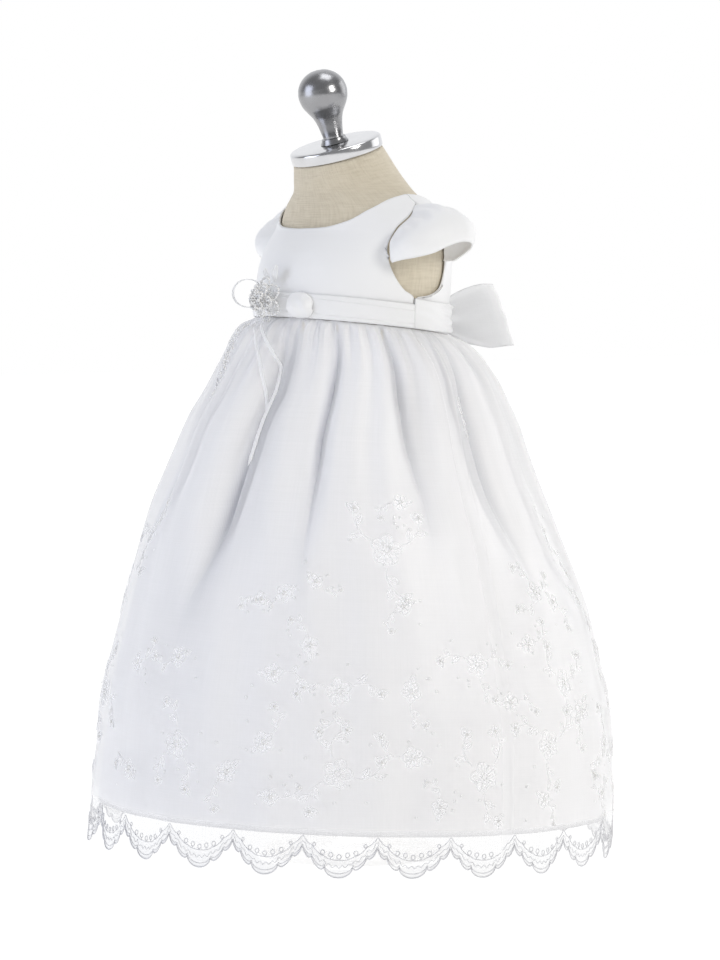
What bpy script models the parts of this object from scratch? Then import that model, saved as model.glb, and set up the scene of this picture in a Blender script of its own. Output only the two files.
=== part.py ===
"""A christening gown on an infant dress form, in metres with +Z up.

The wearer's front is -Y and the wearer's left is +X. The floor is Z = 0, and
the origin is the middle of the underside of the stand. The tables below are in
centimetres and degrees; angles run from the centre front (0) towards the
wearer's left (90) and round the back (180).
"""

import math

import bmesh
import bpy
import numpy as np

CM = 0.01
CENTRE_FRONT = np.array([0.0, -1.0, 0.0])
LEVEL = np.array([1.0, 1.0, 0.0])
FLIP = np.array([-1.0, 1.0, 1.0])
INSIDE = np.array([0.0, 0.3, 47.0])

# Dress form, level sections: height, half width, front y, back y, y of the widest place, lean
FORM_SECTIONS = (
    (24.0, 4.70, -4.30, 4.10, 0.00, 0.00),
    (24.5, 5.90, -5.40, 5.10, 0.00, 0.00),
    (26.5, 7.30, -6.70, 6.30, 0.00, 0.00),
    (30.0, 7.85, -7.20, 6.90, 0.00, 0.00),
    (36.0, 7.80, -7.35, 6.90, 0.00, 0.00),
    (41.5, 7.55, -7.00, 6.95, 0.00, 0.00),
    (44.0, 7.62, -7.05, 7.15, 0.05, 0.00),
    (46.0, 7.65, -6.75, 7.30, 0.25, 0.00),
    (47.0, 7.60, -6.35, 7.28, 0.40, 0.00),
    (48.0, 7.52, -5.65, 7.05, 0.60, 0.00),
    (49.0, 7.38, -4.90, 6.60, 0.80, 0.00),
    (50.0, 7.14, -4.70, 5.85, 1.00, 0.00),
    (50.8, 6.60, -4.62, 5.25, 1.10, 0.00),
    (51.4, 5.75, -4.60, 4.83, 1.02, 0.00),
    (52.0, 4.85, -4.60, 4.35, 0.75, 0.03),
    (53.2, 4.05, -4.70, 3.35, -0.40, 0.14),
    (54.78, 3.50, -4.76, 1.96, -1.40, 0.30),
)

# Clearances and cloth thicknesses, as distances out from the form
BODICE_OUTER = 0.29
BODICE_THICK = 0.15
SASH_OUTER = 0.45
SASH_THICK = 0.12
UNDERSKIRT_TOP = 0.17
OVERLAY_TOP = 0.36
UNDERSKIRT_THICK = 0.10
OVERLAY_THICK = 0.10
NARROW_THICK = 0.10
SEAM_GAP = 0.09
SEAM_HALF_ANGLE = 0.4
BACK_SEAM_ANGLE = 0.2
JUST_CLEAR = 0.02

# Raised waist seam and hem: height at the side, and the rise at the centre front
WAIST_HEIGHT = 41.50
WAIST_RISE = 0.86
TIP_HEIGHT = 1.00
TIP_RISE = 0.75
SKIRT_LENGTH = WAIST_HEIGHT - TIP_HEIGHT
SATIN_HEM_DROP = 37.50
BORDER_DROP = 37.00
NOTCH_DROP = 38.15
OVERLAY_SEAM_ANGLE = 87.0

# Skirt down from the waist seam: drop, overlay radius, underskirt radius
SKIRT_SECTIONS = (
    (0.0, 7.60, 7.60),
    (0.5, 8.85, 8.00),
    (1.5, 9.90, 8.65),
    (2.5, 10.60, 9.40),
    (3.8, 11.40, 10.20),
    (5.0, 12.00, 10.90),
    (6.2, 12.60, 11.50),
    (7.3, 13.15, 12.10),
    (8.5, 13.60, 12.60),
    (9.6, 14.00, 13.00),
    (12.0, 14.90, 14.00),
    (14.3, 15.80, 15.00),
    (16.7, 16.60, 15.90),
    (19.0, 17.30, 16.70),
    (21.4, 18.00, 17.40),
    (23.7, 18.55, 17.95),
    (26.0, 19.10, 18.50),
    (28.4, 19.70, 19.05),
    (30.7, 20.00, 19.35),
    (33.1, 20.10, 19.60),
    (35.4, 20.30, 19.80),
    (40.5, 20.40, 19.95),
)

# How far the skirt hangs towards the back: drop, y of its middle
SKIRT_MIDDLE = (
    (0.0, 0.00),
    (3.4, 0.58),
    (6.0, 0.42),
    (9.0, 0.12),
    (13.0, 0.06),
    (17.5, 0.25),
    (22.0, 0.42),
    (27.0, 0.35),
    (32.0, 0.32),
    (36.5, 0.08),
    (40.5, -0.20),
)

# Deep folds: angle at the waist, angle at its end, depth, width towards 0, width away, end drop
FOLDS = (
    (16.0, 8.0, 1.15, 6.0, 15.0, 20.0),
    (44.5, 40.5, 0.95, 9.0, 3.5, 16.0),
    (68.5, 75.0, 0.85, 3.5, 10.0, 13.0),
    (101.0, 104.0, 0.90, 8.0, 5.0, 17.0),
    (131.0, 127.0, 1.05, 5.0, 11.0, 20.0),
    (163.0, 166.0, 0.85, 9.0, 4.0, 15.0),
    (194.0, 190.0, 0.90, 4.0, 10.0, 18.0),
    (224.0, 229.0, 1.05, 10.0, 5.0, 20.0),
    (255.0, 252.0, 0.85, 5.0, 9.0, 15.0),
    (286.0, 291.0, 1.00, 9.0, 5.0, 19.0),
    (317.0, 313.0, 0.80, 5.0, 10.0, 14.0),
    (343.0, 339.0, 0.85, 8.0, 5.0, 17.0),
)
FOLD_GROWTH = 5.5
FOLD_FADE = 9.0
FOLD_OVERRUN = 3.0

# Gathers round the waist: depth for the overlay and underskirt, and how far down they start and fade
GATHERS = 40
GATHER_DEPTHS = (0.0, 0.24, 0.12)
GATHER_START = 0.45
GATHER_REACH = 7.0
GATHER_FADE = 1.5
OVERLAY_STEP = 3.0
UNDERSKIRT_STEP = 6.0

# The waist's half width and depth, which the skirt follows for this drop
WAIST_HALF_WIDTH = 7.55
WAIST_FRONT_DEPTH = 7.0
WAIST_BACK_DEPTH = 6.95
WAIST_REACH = 9.0

# Splits at the centres only keep the collision pieces close; the overlay's front one is wider
FRONT_SPLIT_ANGLE = 0.15
FINE_DROPS = (0.0, 0.45, 1.3, 3.0, 5.5, 9.0, 14.0, 20.0, 28.5, BORDER_DROP)
LINING_DROPS = (0.0, 0.5, 1.5, 3.5, 6.5, 11.0, 17.0, 24.0, 31.0, SATIN_HEM_DROP)

# Scalloped border: tips round the hem, and one scallop from notch to notch as share, depth share
SCALLOPS = 23
BORDER_TUCK = 0.04
BORDER_PLAIN = 0.75
FIRST_TIP = 4.3
SCALLOP_EDGE = (
    (0.0, 0.0),
    (0.10, 0.45),
    (0.27, 0.84),
    (0.50, 1.0),
    (0.73, 0.84),
    (0.90, 0.45),
)

# Neckline, from the centre front over the shoulder to the centre back: angle, height
NECKLINE_FRONT = ((0, 49.0), (20, 49.12), (36.5, 49.6), (52.5, 50.45), (72, 51.2), (90, 51.55))
NECKLINE_BACK = ((180, 50.45), (158, 50.6), (136, 50.95), (112, 51.4), (90, 51.55))
SHOULDER_TIP = (90.0, 50.90)

# Armhole, front and back half from the underarm to the shoulder tip: y, height
ARMHOLE_FRONT = (
    (0.10, 43.80),
    (-0.75, 44.45),
    (-1.45, 45.40),
    (-1.90, 46.65),
    (-1.80, 47.90),
    (-1.05, 49.10),
    (0.10, 50.05),
)
ARMHOLE_BACK = (
    (0.10, 43.80),
    (1.40, 43.95),
    (2.70, 44.40),
    (3.40, 45.30),
    (3.70, 46.60),
    (3.70, 47.90),
    (3.25, 49.20),
    (2.30, 50.25),
)
ARMHOLE_MIDDLE = (0.9, 47.3)
SLEEVE_FROM = 3
SLEEVE_TO = 4

# Cap sleeve: points along its hem, for the wearer's left
SLEEVE_HEM = (
    (8.00, -2.10, 46.55),
    (9.20, -2.10, 46.75),
    (10.30, -1.60, 46.95),
    (11.00, -0.40, 47.30),
    (11.30, 1.00, 47.90),
    (11.30, 2.30, 48.15),
    (10.90, 3.30, 48.00),
    (9.95, 3.90, 47.50),
    (8.90, 4.00, 47.05),
    (7.95, 3.90, 46.60),
)
SLEEVE_PUFF = 1.35
SLEEVE_GATHERS = 7
SLEEVE_GATHER_DEPTH = 0.10
SLEEVE_THICK = 0.13
SLEEVE_INSET = 0.11
SLEEVE_SEAM_OUT = 0.27
SLEEVE_INSIDE = np.array([6.5, 0.6, 47.0])

# Sash and ties: height of the folded satin, its foot above the waist seam, and the ties' way back
SASH_WIDTH = 1.85
SASH_FOOT = 0.05
SASH_SWELL = 0.05
SASH_END = 89.8
TIE_WIDTH = 2.25
TIE_START = 90.2
TIE_END = 179.6
TIE_RISE = 0.45
TIE_TAPER = 0.35
TIE_CRUMPLE = 0.09
KNOT_HEIGHT = 42.0
KNOT_HALF = (0.95, 0.62, 1.10)
KNOT_PINCH = 0.08
TIE_LIFT = 0.10

# Bow loop for the wearer's left: share of its reach, y, low height, high height
BOW_LOOP = (
    (0.10, 7.70, 41.20, 42.80),
    (0.28, 8.15, 40.60, 43.55),
    (0.52, 8.45, 40.05, 44.25),
    (0.78, 8.75, 39.90, 44.60),
    (0.95, 9.15, 40.00, 44.75),
    (1.00, 9.60, 40.05, 44.75),
    (0.96, 10.00, 40.05, 44.70),
    (0.78, 10.15, 40.00, 44.50),
    (0.52, 9.80, 40.20, 44.10),
    (0.28, 9.05, 40.75, 43.40),
    (0.10, 8.15, 41.25, 42.75),
)
BOW_REACH_LOW = 8.0
BOW_REACH_HIGH = 5.4
BOW_MIDDLE = np.array([4.0, 9.2, 42.2])
BOW_KNOT_GAP = 0.09
BOW_PUCKER = 0.12
RIBBON_THICK = 0.10

# Bow tail: drop, angle of its middle off the centre back, half width
BOW_TAIL = (
    (1.3, 5.2, 0.75),
    (3.0, 8.4, 1.35),
    (5.5, 11.0, 2.00),
    (9.0, 12.2, 2.45),
    (13.5, 12.4, 2.60),
    (18.5, 12.6, 2.70),
    (24.0, 13.0, 2.75),
    (27.5, 13.4, 2.75),
)
TAIL_OUT = 0.29
TAIL_WAVE = 0.08
TAIL_FOLD_BRIDGE = 0.65
SHORT_TAIL_SHARE = 0.93

# Corsage
FLOWER_HEIGHT = 43.70
FLOWER_RADIUS = 1.60
FLOWER_DOME = 0.62
FLOWER_EYE = 0.22
FLOWER_RIM = 0.12
PETALS = (  # node, tip x and height, foot x and height
    ("corsage_petal_left", 0.95, 46.35, 0.42, 45.15),
    ("corsage_petal_right", -0.55, 46.10, -0.35, 45.20),
)
PETAL_HALVES = (0.14, 0.34, 0.42, 0.36, 0.20, 0.03)
PETAL_SIDE = np.array([0.85, 0.0, -0.25])
PETAL_CROWN = 0.10
PETAL_BEND = 0.15
# Angle and fullness along the puffed satin loop
SATIN_LOOP = ((13.2, 0.5), (14.2, 0.75), (17.5, 1.0), (22.0, 1.0), (26.5, 0.85), (29.5, 0.6))
SATIN_LOOP_FOOT = 0.12
SATIN_LOOP_WIDTH = 1.75
SATIN_LOOP_PUFF = 0.62
SATIN_LOOP_OUT = 0.12
SATIN_LOOP_THICK = 0.10
NARROW_RIBBON = 0.32
RIBBON_LOOP_FOOT = np.array([-1.10, -7.66, 44.15])
RIBBON_LOOP_ACROSS = np.array([-0.85, -0.53, 0.0])
RIBBON_LOOP_RADIUS = 1.30
RIBBON_LOOP_RISE = 1.10
RIBBON_LOOP_MOUTH = 0.62
LONG_TAIL_OUT = 0.23
SHORT_TAIL_OUT = 0.25
SPRAY_OUT = 0.31
LONG_TAIL = ((1.0, 0.5), (8.0, 1.4), (13.5, 3.0), (16.5, 5.5), (17.3, 8.3), (16.6, 11.0))
SHORT_TAIL = ((-4.0, 0.5), (3.0, 1.4), (8.5, 3.0), (12.0, 5.2), (13.6, 8.0))
SPRAY = ((-8.0, 0.5, 0.25), (-11.0, 1.3, 0.5), (-13.5, 2.4, 0.62), (-15.5, 4.0, 0.55), (-17.0, 6.2, 0.15))

# Stand
BASE_RADIUS = 7.5
BASE_HEIGHT = 0.6
BASE_BEVEL = 0.5
POLE_RADIUS = 1.1
COLLAR_WIDTH = 0.6
COLLAR_HEIGHT = 0.5
FLANGE_RADIUS = 2.6
FLANGE_HEIGHT = 0.4

# Neck cap and finial, along the leaning neck: distance up from the neck, radius
NECK_LEAN = math.radians(16.7)
NECK_TOP = np.array([0.0, -1.40, 54.80])
CAP_PROFILE = ((0.0, 0.0), (0.0, 3.54), (0.06, 3.60), (0.78, 3.60), (0.93, 3.46), (0.97, 0.0))
FINIAL_PROFILE = (
    (0.99, 0.0),
    (0.99, 1.10),
    (1.15, 0.95),
    (1.32, 0.92),
    (1.42, 0.78),
    (1.90, 0.86),
    (2.50, 0.97),
    (3.10, 1.16),
    (3.55, 1.42),
    (3.95, 1.66),
    (4.40, 1.84),
    (4.95, 1.91),
    (5.50, 1.81),
    (6.05, 1.49),
    (6.45, 1.05),
    (6.68, 0.55),
    (6.76, 0.0),
)


def clear_scene():
    for item in list(bpy.data.objects):
        bpy.data.objects.remove(item)


def smooth(rows, at, column):
    """A column of a table between its rows, without overshoot."""
    x = np.array([row[0] for row in rows], float)
    y = np.array([row[column] for row in rows], float)
    step = np.diff(x)
    rise = np.diff(y) / step
    slope = np.zeros(len(x))
    slope[0], slope[-1] = rise[0], rise[-1]
    for i in range(1, len(x) - 1):
        if rise[i - 1] * rise[i] > 0:
            slope[i] = 2 * rise[i - 1] * rise[i] / (rise[i - 1] + rise[i])
    at = np.clip(at, x[0], x[-1])
    i = np.clip(np.searchsorted(x, at) - 1, 0, len(x) - 2)
    s = (at - x[i]) / step[i]
    rest = 1 - s
    return (
        y[i] * (1 + 2 * s) * rest**2
        + y[i + 1] * s**2 * (3 - 2 * s)
        + step[i] * s * rest * (slope[i] * rest - slope[i + 1] * s)
    )


def path(points, count):
    """A smooth curve through the points, cut at evenly spaced places."""
    points = np.array(points, float)
    along = np.concatenate([[0], np.cumsum(np.linalg.norm(np.diff(points, axis=0), axis=1))])
    rows = np.column_stack([along, points])
    fine = np.linspace(0, along[-1], 20 * count)
    curve = np.stack([smooth(rows, fine, k + 1) for k in range(points.shape[1])], axis=1)
    length = np.concatenate([[0], np.cumsum(np.linalg.norm(np.diff(curve, axis=0), axis=1))])
    even = np.linspace(0, length[-1], count)
    return np.stack([np.interp(even, length, curve[:, k]) for k in range(points.shape[1])], axis=1)


def make_material(name, colour, roughness, metallic=0.0, alpha=1.0):
    material = bpy.data.materials.new(name)
    material.use_nodes = True
    shader = material.node_tree.nodes["Principled BSDF"]
    shader.inputs["Base Color"].default_value = (*colour, 1.0)
    shader.inputs["Roughness"].default_value = roughness
    shader.inputs["Metallic"].default_value = metallic
    shader.inputs["Alpha"].default_value = alpha
    return material


def add_object(name, mesh, material):
    """An object in the scene, with its material and smooth shading."""
    item = bpy.data.objects.new(name, mesh)
    bpy.context.scene.collection.objects.link(item)
    mesh.materials.append(MATERIALS[material])
    mesh.shade_smooth()
    return item


def solid(name, points, faces, material):
    """An object from points in centimetres; its faces are turned outward."""
    mesh = bpy.data.meshes.new(name)
    mesh.from_pydata((np.asarray(points, float) * CM).tolist(), [], faces)
    work = bmesh.new()
    work.from_mesh(mesh)
    bmesh.ops.recalc_face_normals(work, faces=work.faces)
    work.to_mesh(mesh)
    work.free()
    item = add_object(name, mesh, material)
    mesh.set_sharp_from_angle(angle=math.radians(50))
    return item


def cloth(name, grid, thick, facing, material):
    """A wall of cloth; the grid is its outer side and facing its rough outward direction."""
    rows, columns = grid.shape[:2]
    across = np.diff(grid, axis=1)[:-1]
    down = np.diff(grid, axis=0)[:, :-1]
    outward = float((np.cross(across, down) * np.broadcast_to(facing, grid.shape)[:-1, :-1]).sum())
    faces = []
    for i in range(rows - 1):
        for j in range(columns - 1):
            a = i * columns + j
            quad = [a, a + 1, a + columns + 1, a + columns]
            faces.append(quad if outward > 0 else quad[::-1])
    mesh = bpy.data.meshes.new(name)
    mesh.from_pydata((grid.reshape(-1, 3) * CM).tolist(), [], faces)
    item = add_object(name, mesh, material)
    wall = item.modifiers.new("Wall", "SOLIDIFY")
    wall.thickness = thick * CM
    wall.offset = -1.0
    wall.use_even_offset = False
    return item


def turned(name, profile, foot, lean, steps, material):
    """A profile of (distance up, radius) turned round the object's own Z axis."""
    mesh = bpy.data.meshes.new(name)
    points = [(radius * CM, 0.0, up * CM) for up, radius in reversed(profile)]
    mesh.from_pydata(points, [(k, k + 1) for k in range(len(points) - 1)], [])
    item = add_object(name, mesh, material)
    item.location = [float(value) * CM for value in foot]
    item.rotation_euler = (lean, 0.0, 0.0)
    screw = item.modifiers.new("Turn", "SCREW")
    screw.steps = steps
    screw.render_steps = steps
    screw.use_merge_vertices = True
    screw.merge_threshold = 0.00001
    screw.use_smooth_shade = True
    return item


def form_surface(angle, height):
    """Points of the form's skin for angles in degrees and heights."""
    angle, height = np.broadcast_arrays(np.asarray(angle, float), np.asarray(height, float))
    turn = np.radians(angle)
    half, front, back, widest, lean = (smooth(FORM_SECTIONS, height, k) for k in range(1, 6))
    ahead = np.where(np.cos(turn) > 0, widest - front, back - widest)
    x = half * np.sin(turn)
    y = widest - ahead * np.cos(turn)
    return np.stack([x, y, height + lean * (y - (front + back) / 2)], axis=-1)


def off_form(angle, height, out):
    """Points a distance out from the form's skin, along its normal."""
    step = 0.02
    across = form_surface(np.asarray(angle, float) + 10 * step, height)
    across = across - form_surface(np.asarray(angle, float) - 10 * step, height)
    up = form_surface(angle, np.asarray(height, float) + step)
    up = up - form_surface(angle, np.asarray(height, float) - step)
    normal = np.cross(across, up)
    normal = normal / np.linalg.norm(normal, axis=-1, keepdims=True)
    return form_surface(angle, height) + np.asarray(out, float)[..., None] * normal


def waist_height(angle):
    return WAIST_HEIGHT + WAIST_RISE * np.cos(np.radians(angle))


def tip_height(angle):
    return TIP_HEIGHT + TIP_RISE * np.cos(np.radians(angle))


def angle_of(y, height):
    """The angle on the wearer's left at which the form's skin has this y."""
    front, back, widest = (smooth(FORM_SECTIONS, height, k) for k in (2, 3, 4))
    ahead = np.where(y < widest, widest - front, back - widest)
    return np.degrees(np.arccos(np.clip((widest - y) / ahead, -1, 1)))


def boundary(points, count):
    """A smooth line of (angle, height), spaced by its real length on the form."""
    fine = path([(a * 0.13, z) for a, z in points], count)
    return np.stack([fine[:, 0] / 0.13, fine[:, 1]], axis=1)


def bodice_half(neckline, armhole, centre, columns, rows):
    """(angle, height) of half a bodice panel between its centre line and its side."""
    shift = -SEAM_HALF_ANGLE if centre == 0 else SEAM_HALF_ANGLE
    seam = 90.0 + shift
    hole = [(float(angle_of(y, z)) + shift, z) for y, z in armhole]
    low = waist_height(seam) + JUST_CLEAR
    side = boundary([(seam, low), (seam, low + 1.1)] + hole + [(seam, SHOULDER_TIP[1])], rows)
    line = [(a if a != 90 else seam, z) for a, z in neckline]
    top = boundary(line + [(seam, SHOULDER_TIP[1])], columns)
    bottom_angle = np.linspace(centre, seam, columns)
    bottom = np.stack([bottom_angle, waist_height(bottom_angle) + JUST_CLEAR], axis=1)
    middle = np.stack([np.full(rows, float(centre)), np.linspace(bottom[0, 1], top[0, 1], rows)], axis=1)
    s = np.linspace(0, 1, columns)[None, :, None]
    t = np.linspace(0, 1, rows)[:, None, None]
    patch = (1 - t) * bottom[None] + t * top[None] + (1 - s) * middle[:, None] + s * side[:, None]
    corners = (1 - s) * (1 - t) * bottom[0] + s * (1 - t) * bottom[-1]
    corners = corners + (1 - s) * t * top[0] + s * t * top[-1]
    return patch - corners


def bodice():
    half = bodice_half(NECKLINE_FRONT, ARMHOLE_FRONT, 0, 11, 12)
    other = half[:, :0:-1].copy()
    other[..., 0] *= -1
    domain = np.concatenate([other, half], axis=1)
    outer = off_form(domain[..., 0], domain[..., 1], BODICE_OUTER)
    cloth("bodice_front", outer, BODICE_THICK, outer - INSIDE, "satin")
    half = bodice_half(NECKLINE_BACK, ARMHOLE_BACK, 180, 9, 12)
    half[:, 0, 0] -= BACK_SEAM_ANGLE
    outer = off_form(half[..., 0], half[..., 1], BODICE_OUTER)
    cloth("bodice_back_left", outer, BODICE_THICK, outer - INSIDE, "satin")
    cloth("bodice_back_right", outer * FLIP, BODICE_THICK, (outer - INSIDE) * FLIP, "satin")


def sleeves():
    edge = list(ARMHOLE_FRONT[SLEEVE_FROM:]) + [(1.10, SHOULDER_TIP[1])]
    edge += list(reversed(ARMHOLE_BACK[SLEEVE_TO:]))
    edge = np.array(edge)
    inward = np.array(ARMHOLE_MIDDLE) - edge
    edge = edge + SLEEVE_INSET * inward / np.linalg.norm(inward, axis=1, keepdims=True)
    head = path(off_form(angle_of(edge[:, 0], edge[:, 1]), edge[:, 1], SLEEVE_SEAM_OUT), 21)
    hem = path(SLEEVE_HEM, 21)
    a = np.linspace(0, 1, 21)[None, :, None]
    b = np.linspace(0, 1, 6)[:, None, None]
    lift = np.stack([0 * a + 0.5, 1.1 * (2 * a - 1), 0 * a + 0.8], axis=-1)[:, :, 0]
    arch = np.sin(math.pi * a) ** 0.7
    grid = (1 - b) * head[None] + b * hem[None]
    grid = grid + SLEEVE_PUFF * arch * (4 * b * (1 - b)) ** 0.8 * lift
    ripple = SLEEVE_GATHER_DEPTH * np.cos(2 * math.pi * SLEEVE_GATHERS * (a - 0.5) / 0.6)
    ripple = ripple * np.exp(-(((a - 0.5) / 0.3) ** 4)) * np.sin(math.pi * np.clip(b * 1.6, 0, 1))
    grid = grid + ripple * lift
    outward = grid - SLEEVE_INSIDE
    cloth("sleeve_left", grid, SLEEVE_THICK, outward, "satin")
    cloth("sleeve_right", grid * FLIP, SLEEVE_THICK, outward * FLIP, "satin")


def fold_depth(angle, drop):
    """How far the deep folds draw the skirt in."""
    total = np.zeros(np.broadcast(angle, drop).shape)
    for start, end, depth, before, after, length in FOLDS:
        middle = start + (end - start) * np.clip(drop / length, 0, 1)
        away = (angle - middle + 180) % 360 - 180
        width = np.where(away < 0, before, after)
        grow = np.clip(drop / FOLD_GROWTH, 0, 1) ** 0.8
        fade = np.clip((length + FOLD_OVERRUN - drop) / FOLD_FADE, 0, 1)
        total = total + depth * grow * fade * fade * (3 - 2 * fade) * np.exp(-((away / width) ** 2))
    return total


def drape(angle, drop, layer, out, gathered=1.0):
    """Points of the skirt: layer 1 is the overlay and layer 2 the underskirt."""
    angle, drop = np.broadcast_arrays(np.asarray(angle, float), np.asarray(drop, float))
    turn = np.radians(angle)
    radius = smooth(SKIRT_SECTIONS, drop, layer) - fold_depth(angle, drop)
    fade = np.exp(-((drop / GATHER_REACH) ** GATHER_FADE))
    gather = gathered * GATHER_DEPTHS[layer] * np.clip(drop / GATHER_START, 0, 1) * fade
    radius = radius - gather * (1 - np.cos(GATHERS * turn))
    top = (0.0, OVERLAY_TOP, UNDERSKIRT_TOP)[layer]
    near = np.clip(1 - drop / WAIST_REACH, 0, 1) ** 2
    wide = radius + out + near * (WAIST_HALF_WIDTH + top - SKIRT_SECTIONS[0][layer])
    deep = np.where(np.cos(turn) > 0, WAIST_FRONT_DEPTH, WAIST_BACK_DEPTH)
    deep = radius + out + near * (deep + top - SKIRT_SECTIONS[0][layer])
    height = waist_height(angle) - JUST_CLEAR
    height = height - drop * (height - tip_height(angle)) / SKIRT_LENGTH
    middle = smooth(SKIRT_MIDDLE, drop, 1)
    return np.stack([wide * np.sin(turn), middle - deep * np.cos(turn), height], axis=-1)


def panel_angles(edge_low, edge_high, step, drops, layer):
    """Angles of a skirt panel's columns, with half the seam gap left at each side."""
    columns = round((edge_high - edge_low) / step) + 1
    radius = smooth(SKIRT_SECTIONS, np.asarray(drops, float), layer)
    gap = np.degrees(SEAM_GAP / 2 / radius)[:, None]
    share = np.linspace(0, 1, columns)[None]
    return (edge_low + gap) * (1 - share) + (edge_high - gap) * share


def skirts():
    drops = np.array(FINE_DROPS)
    half = OVERLAY_SEAM_ANGLE
    for name, low, high in (
        ("overlay_front_right", -half, -FRONT_SPLIT_ANGLE),
        ("overlay_front_left", FRONT_SPLIT_ANGLE, half),
        ("overlay_back_left", half, 180),
        ("overlay_back_right", 180, 360 - half),
    ):
        angle = panel_angles(low, high, OVERLAY_STEP, drops, 1)
        grid = drape(angle, drops[:, None], 1, 0.0)
        cloth(name, grid, OVERLAY_THICK, grid * LEVEL, "organza")
    drops = np.array(LINING_DROPS)
    for name, low in (
        ("underskirt_front_right", -90),
        ("underskirt_front_left", 0),
        ("underskirt_back_left", 90),
        ("underskirt_back_right", 180),
    ):
        angle = panel_angles(low, low + 90, UNDERSKIRT_STEP, drops, 2)
        grid = drape(angle, drops[:, None], 2, 0.0)
        cloth(name, grid, UNDERSKIRT_THICK, grid * LEVEL, "satin")


def scallop_drop(angle):
    """Drop of the border's lower edge."""
    share = ((angle - FIRST_TIP) * SCALLOPS / 360 + 0.5) % 1
    rows = SCALLOP_EDGE + ((1.0, 0.0),)
    depth = np.interp(share, [row[0] for row in rows], [row[1] for row in rows])
    return NOTCH_DROP + (SKIRT_LENGTH - NOTCH_DROP) * depth


def border():
    half = OVERLAY_SEAM_ANGLE
    every = []
    for k in range(-SCALLOPS, 2 * SCALLOPS):
        for share, _ in SCALLOP_EDGE:
            every.append(FIRST_TIP + 360 / SCALLOPS * (k - 0.5 + share))
    gap = math.degrees(SEAM_GAP / 2 / SKIRT_SECTIONS[-1][1])
    for name, low, high in (("lace_edge_front", -half, half), ("lace_edge_back", half, 360 - half)):
        inside = [a for a in every if low + 0.3 < a < high - 0.3]
        angle = np.array([low + gap] + inside + [high - gap])
        low_edge = scallop_drop(angle)
        top = np.full(len(angle), BORDER_DROP + BORDER_TUCK)
        drops = np.stack([top, top + BORDER_PLAIN, low_edge])
        grid = drape(np.broadcast_to(angle, drops.shape), drops, 1, 0.0)
        cloth(name, grid, OVERLAY_THICK, grid * LEVEL, "lace")


def sash():
    angle = np.linspace(-SASH_END, SASH_END, 25)[None]
    share = np.array([0.0, 0.2, 0.8, 1.0])[:, None]
    height = waist_height(angle) + SASH_FOOT + SASH_WIDTH * share
    swell = SASH_SWELL * np.array([0.0, 1.0, 1.0, 0.0])[:, None]
    angle, height = np.broadcast_arrays(angle, height)
    outer = off_form(angle, height, SASH_OUTER + swell + 0 * angle)
    cloth("sash_front", outer, SASH_THICK, outer * LEVEL, "satin")
    angle = np.linspace(TIE_START, TIE_END, 15)[None]
    share = np.array([0.0, 0.3, 0.7, 1.0])[:, None]
    along = (angle - TIE_START) / (TIE_END - TIE_START)
    width = TIE_WIDTH * (1 - TIE_TAPER * along**3)
    low = waist_height(angle) + SASH_FOOT + TIE_RISE * along**3
    height = low + width * share
    crumple = TIE_LIFT + TIE_CRUMPLE * np.cos(9 * along + 7 * share) * np.sin(math.pi * along) ** 0.5
    angle, height = np.broadcast_arrays(angle, height)
    outer = off_form(angle, height, SASH_OUTER + crumple)
    cloth("sash_tie_left", outer, SASH_THICK, outer * LEVEL, "satin")
    cloth("sash_tie_right", outer * FLIP, SASH_THICK, outer * LEVEL * FLIP, "satin")


def rounded_lump(name, middle, half, wrap):
    """A rounded, slightly pinched lump, used for the knot."""
    across, around = 9, 12
    points, rings = [], []
    for i in range(across + 1):
        turn = math.pi * i / across
        if i in (0, across):
            rings.append([len(points)])
            points.append(middle + np.array([half[0] * (1 if i == 0 else -1), 0.0, 0.0]))
            continue
        x = math.copysign(abs(math.cos(turn)) ** 0.55, math.cos(turn)) * half[0]
        size = math.sin(turn) ** 0.45 * (1 - wrap * math.cos(2 * turn) ** 2)
        rings.append(list(range(len(points), len(points) + around)))
        for k in range(around):
            round_it = 2 * math.pi * k / around
            y = size * half[1] * math.cos(round_it)
            z = size * half[2] * math.sin(round_it)
            points.append(middle + np.array([x, y, z]))
    faces = []
    for low, high in zip(rings, rings[1:]):
        for k in range(around):
            n = (k + 1) % around
            if len(low) == 1:
                faces.append([low[0], high[n], high[k]])
            elif len(high) == 1:
                faces.append([low[k], low[n], high[0]])
            else:
                faces.append([low[k], low[n], high[n], high[k]])
    return solid(name, points, faces, "organza")


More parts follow.
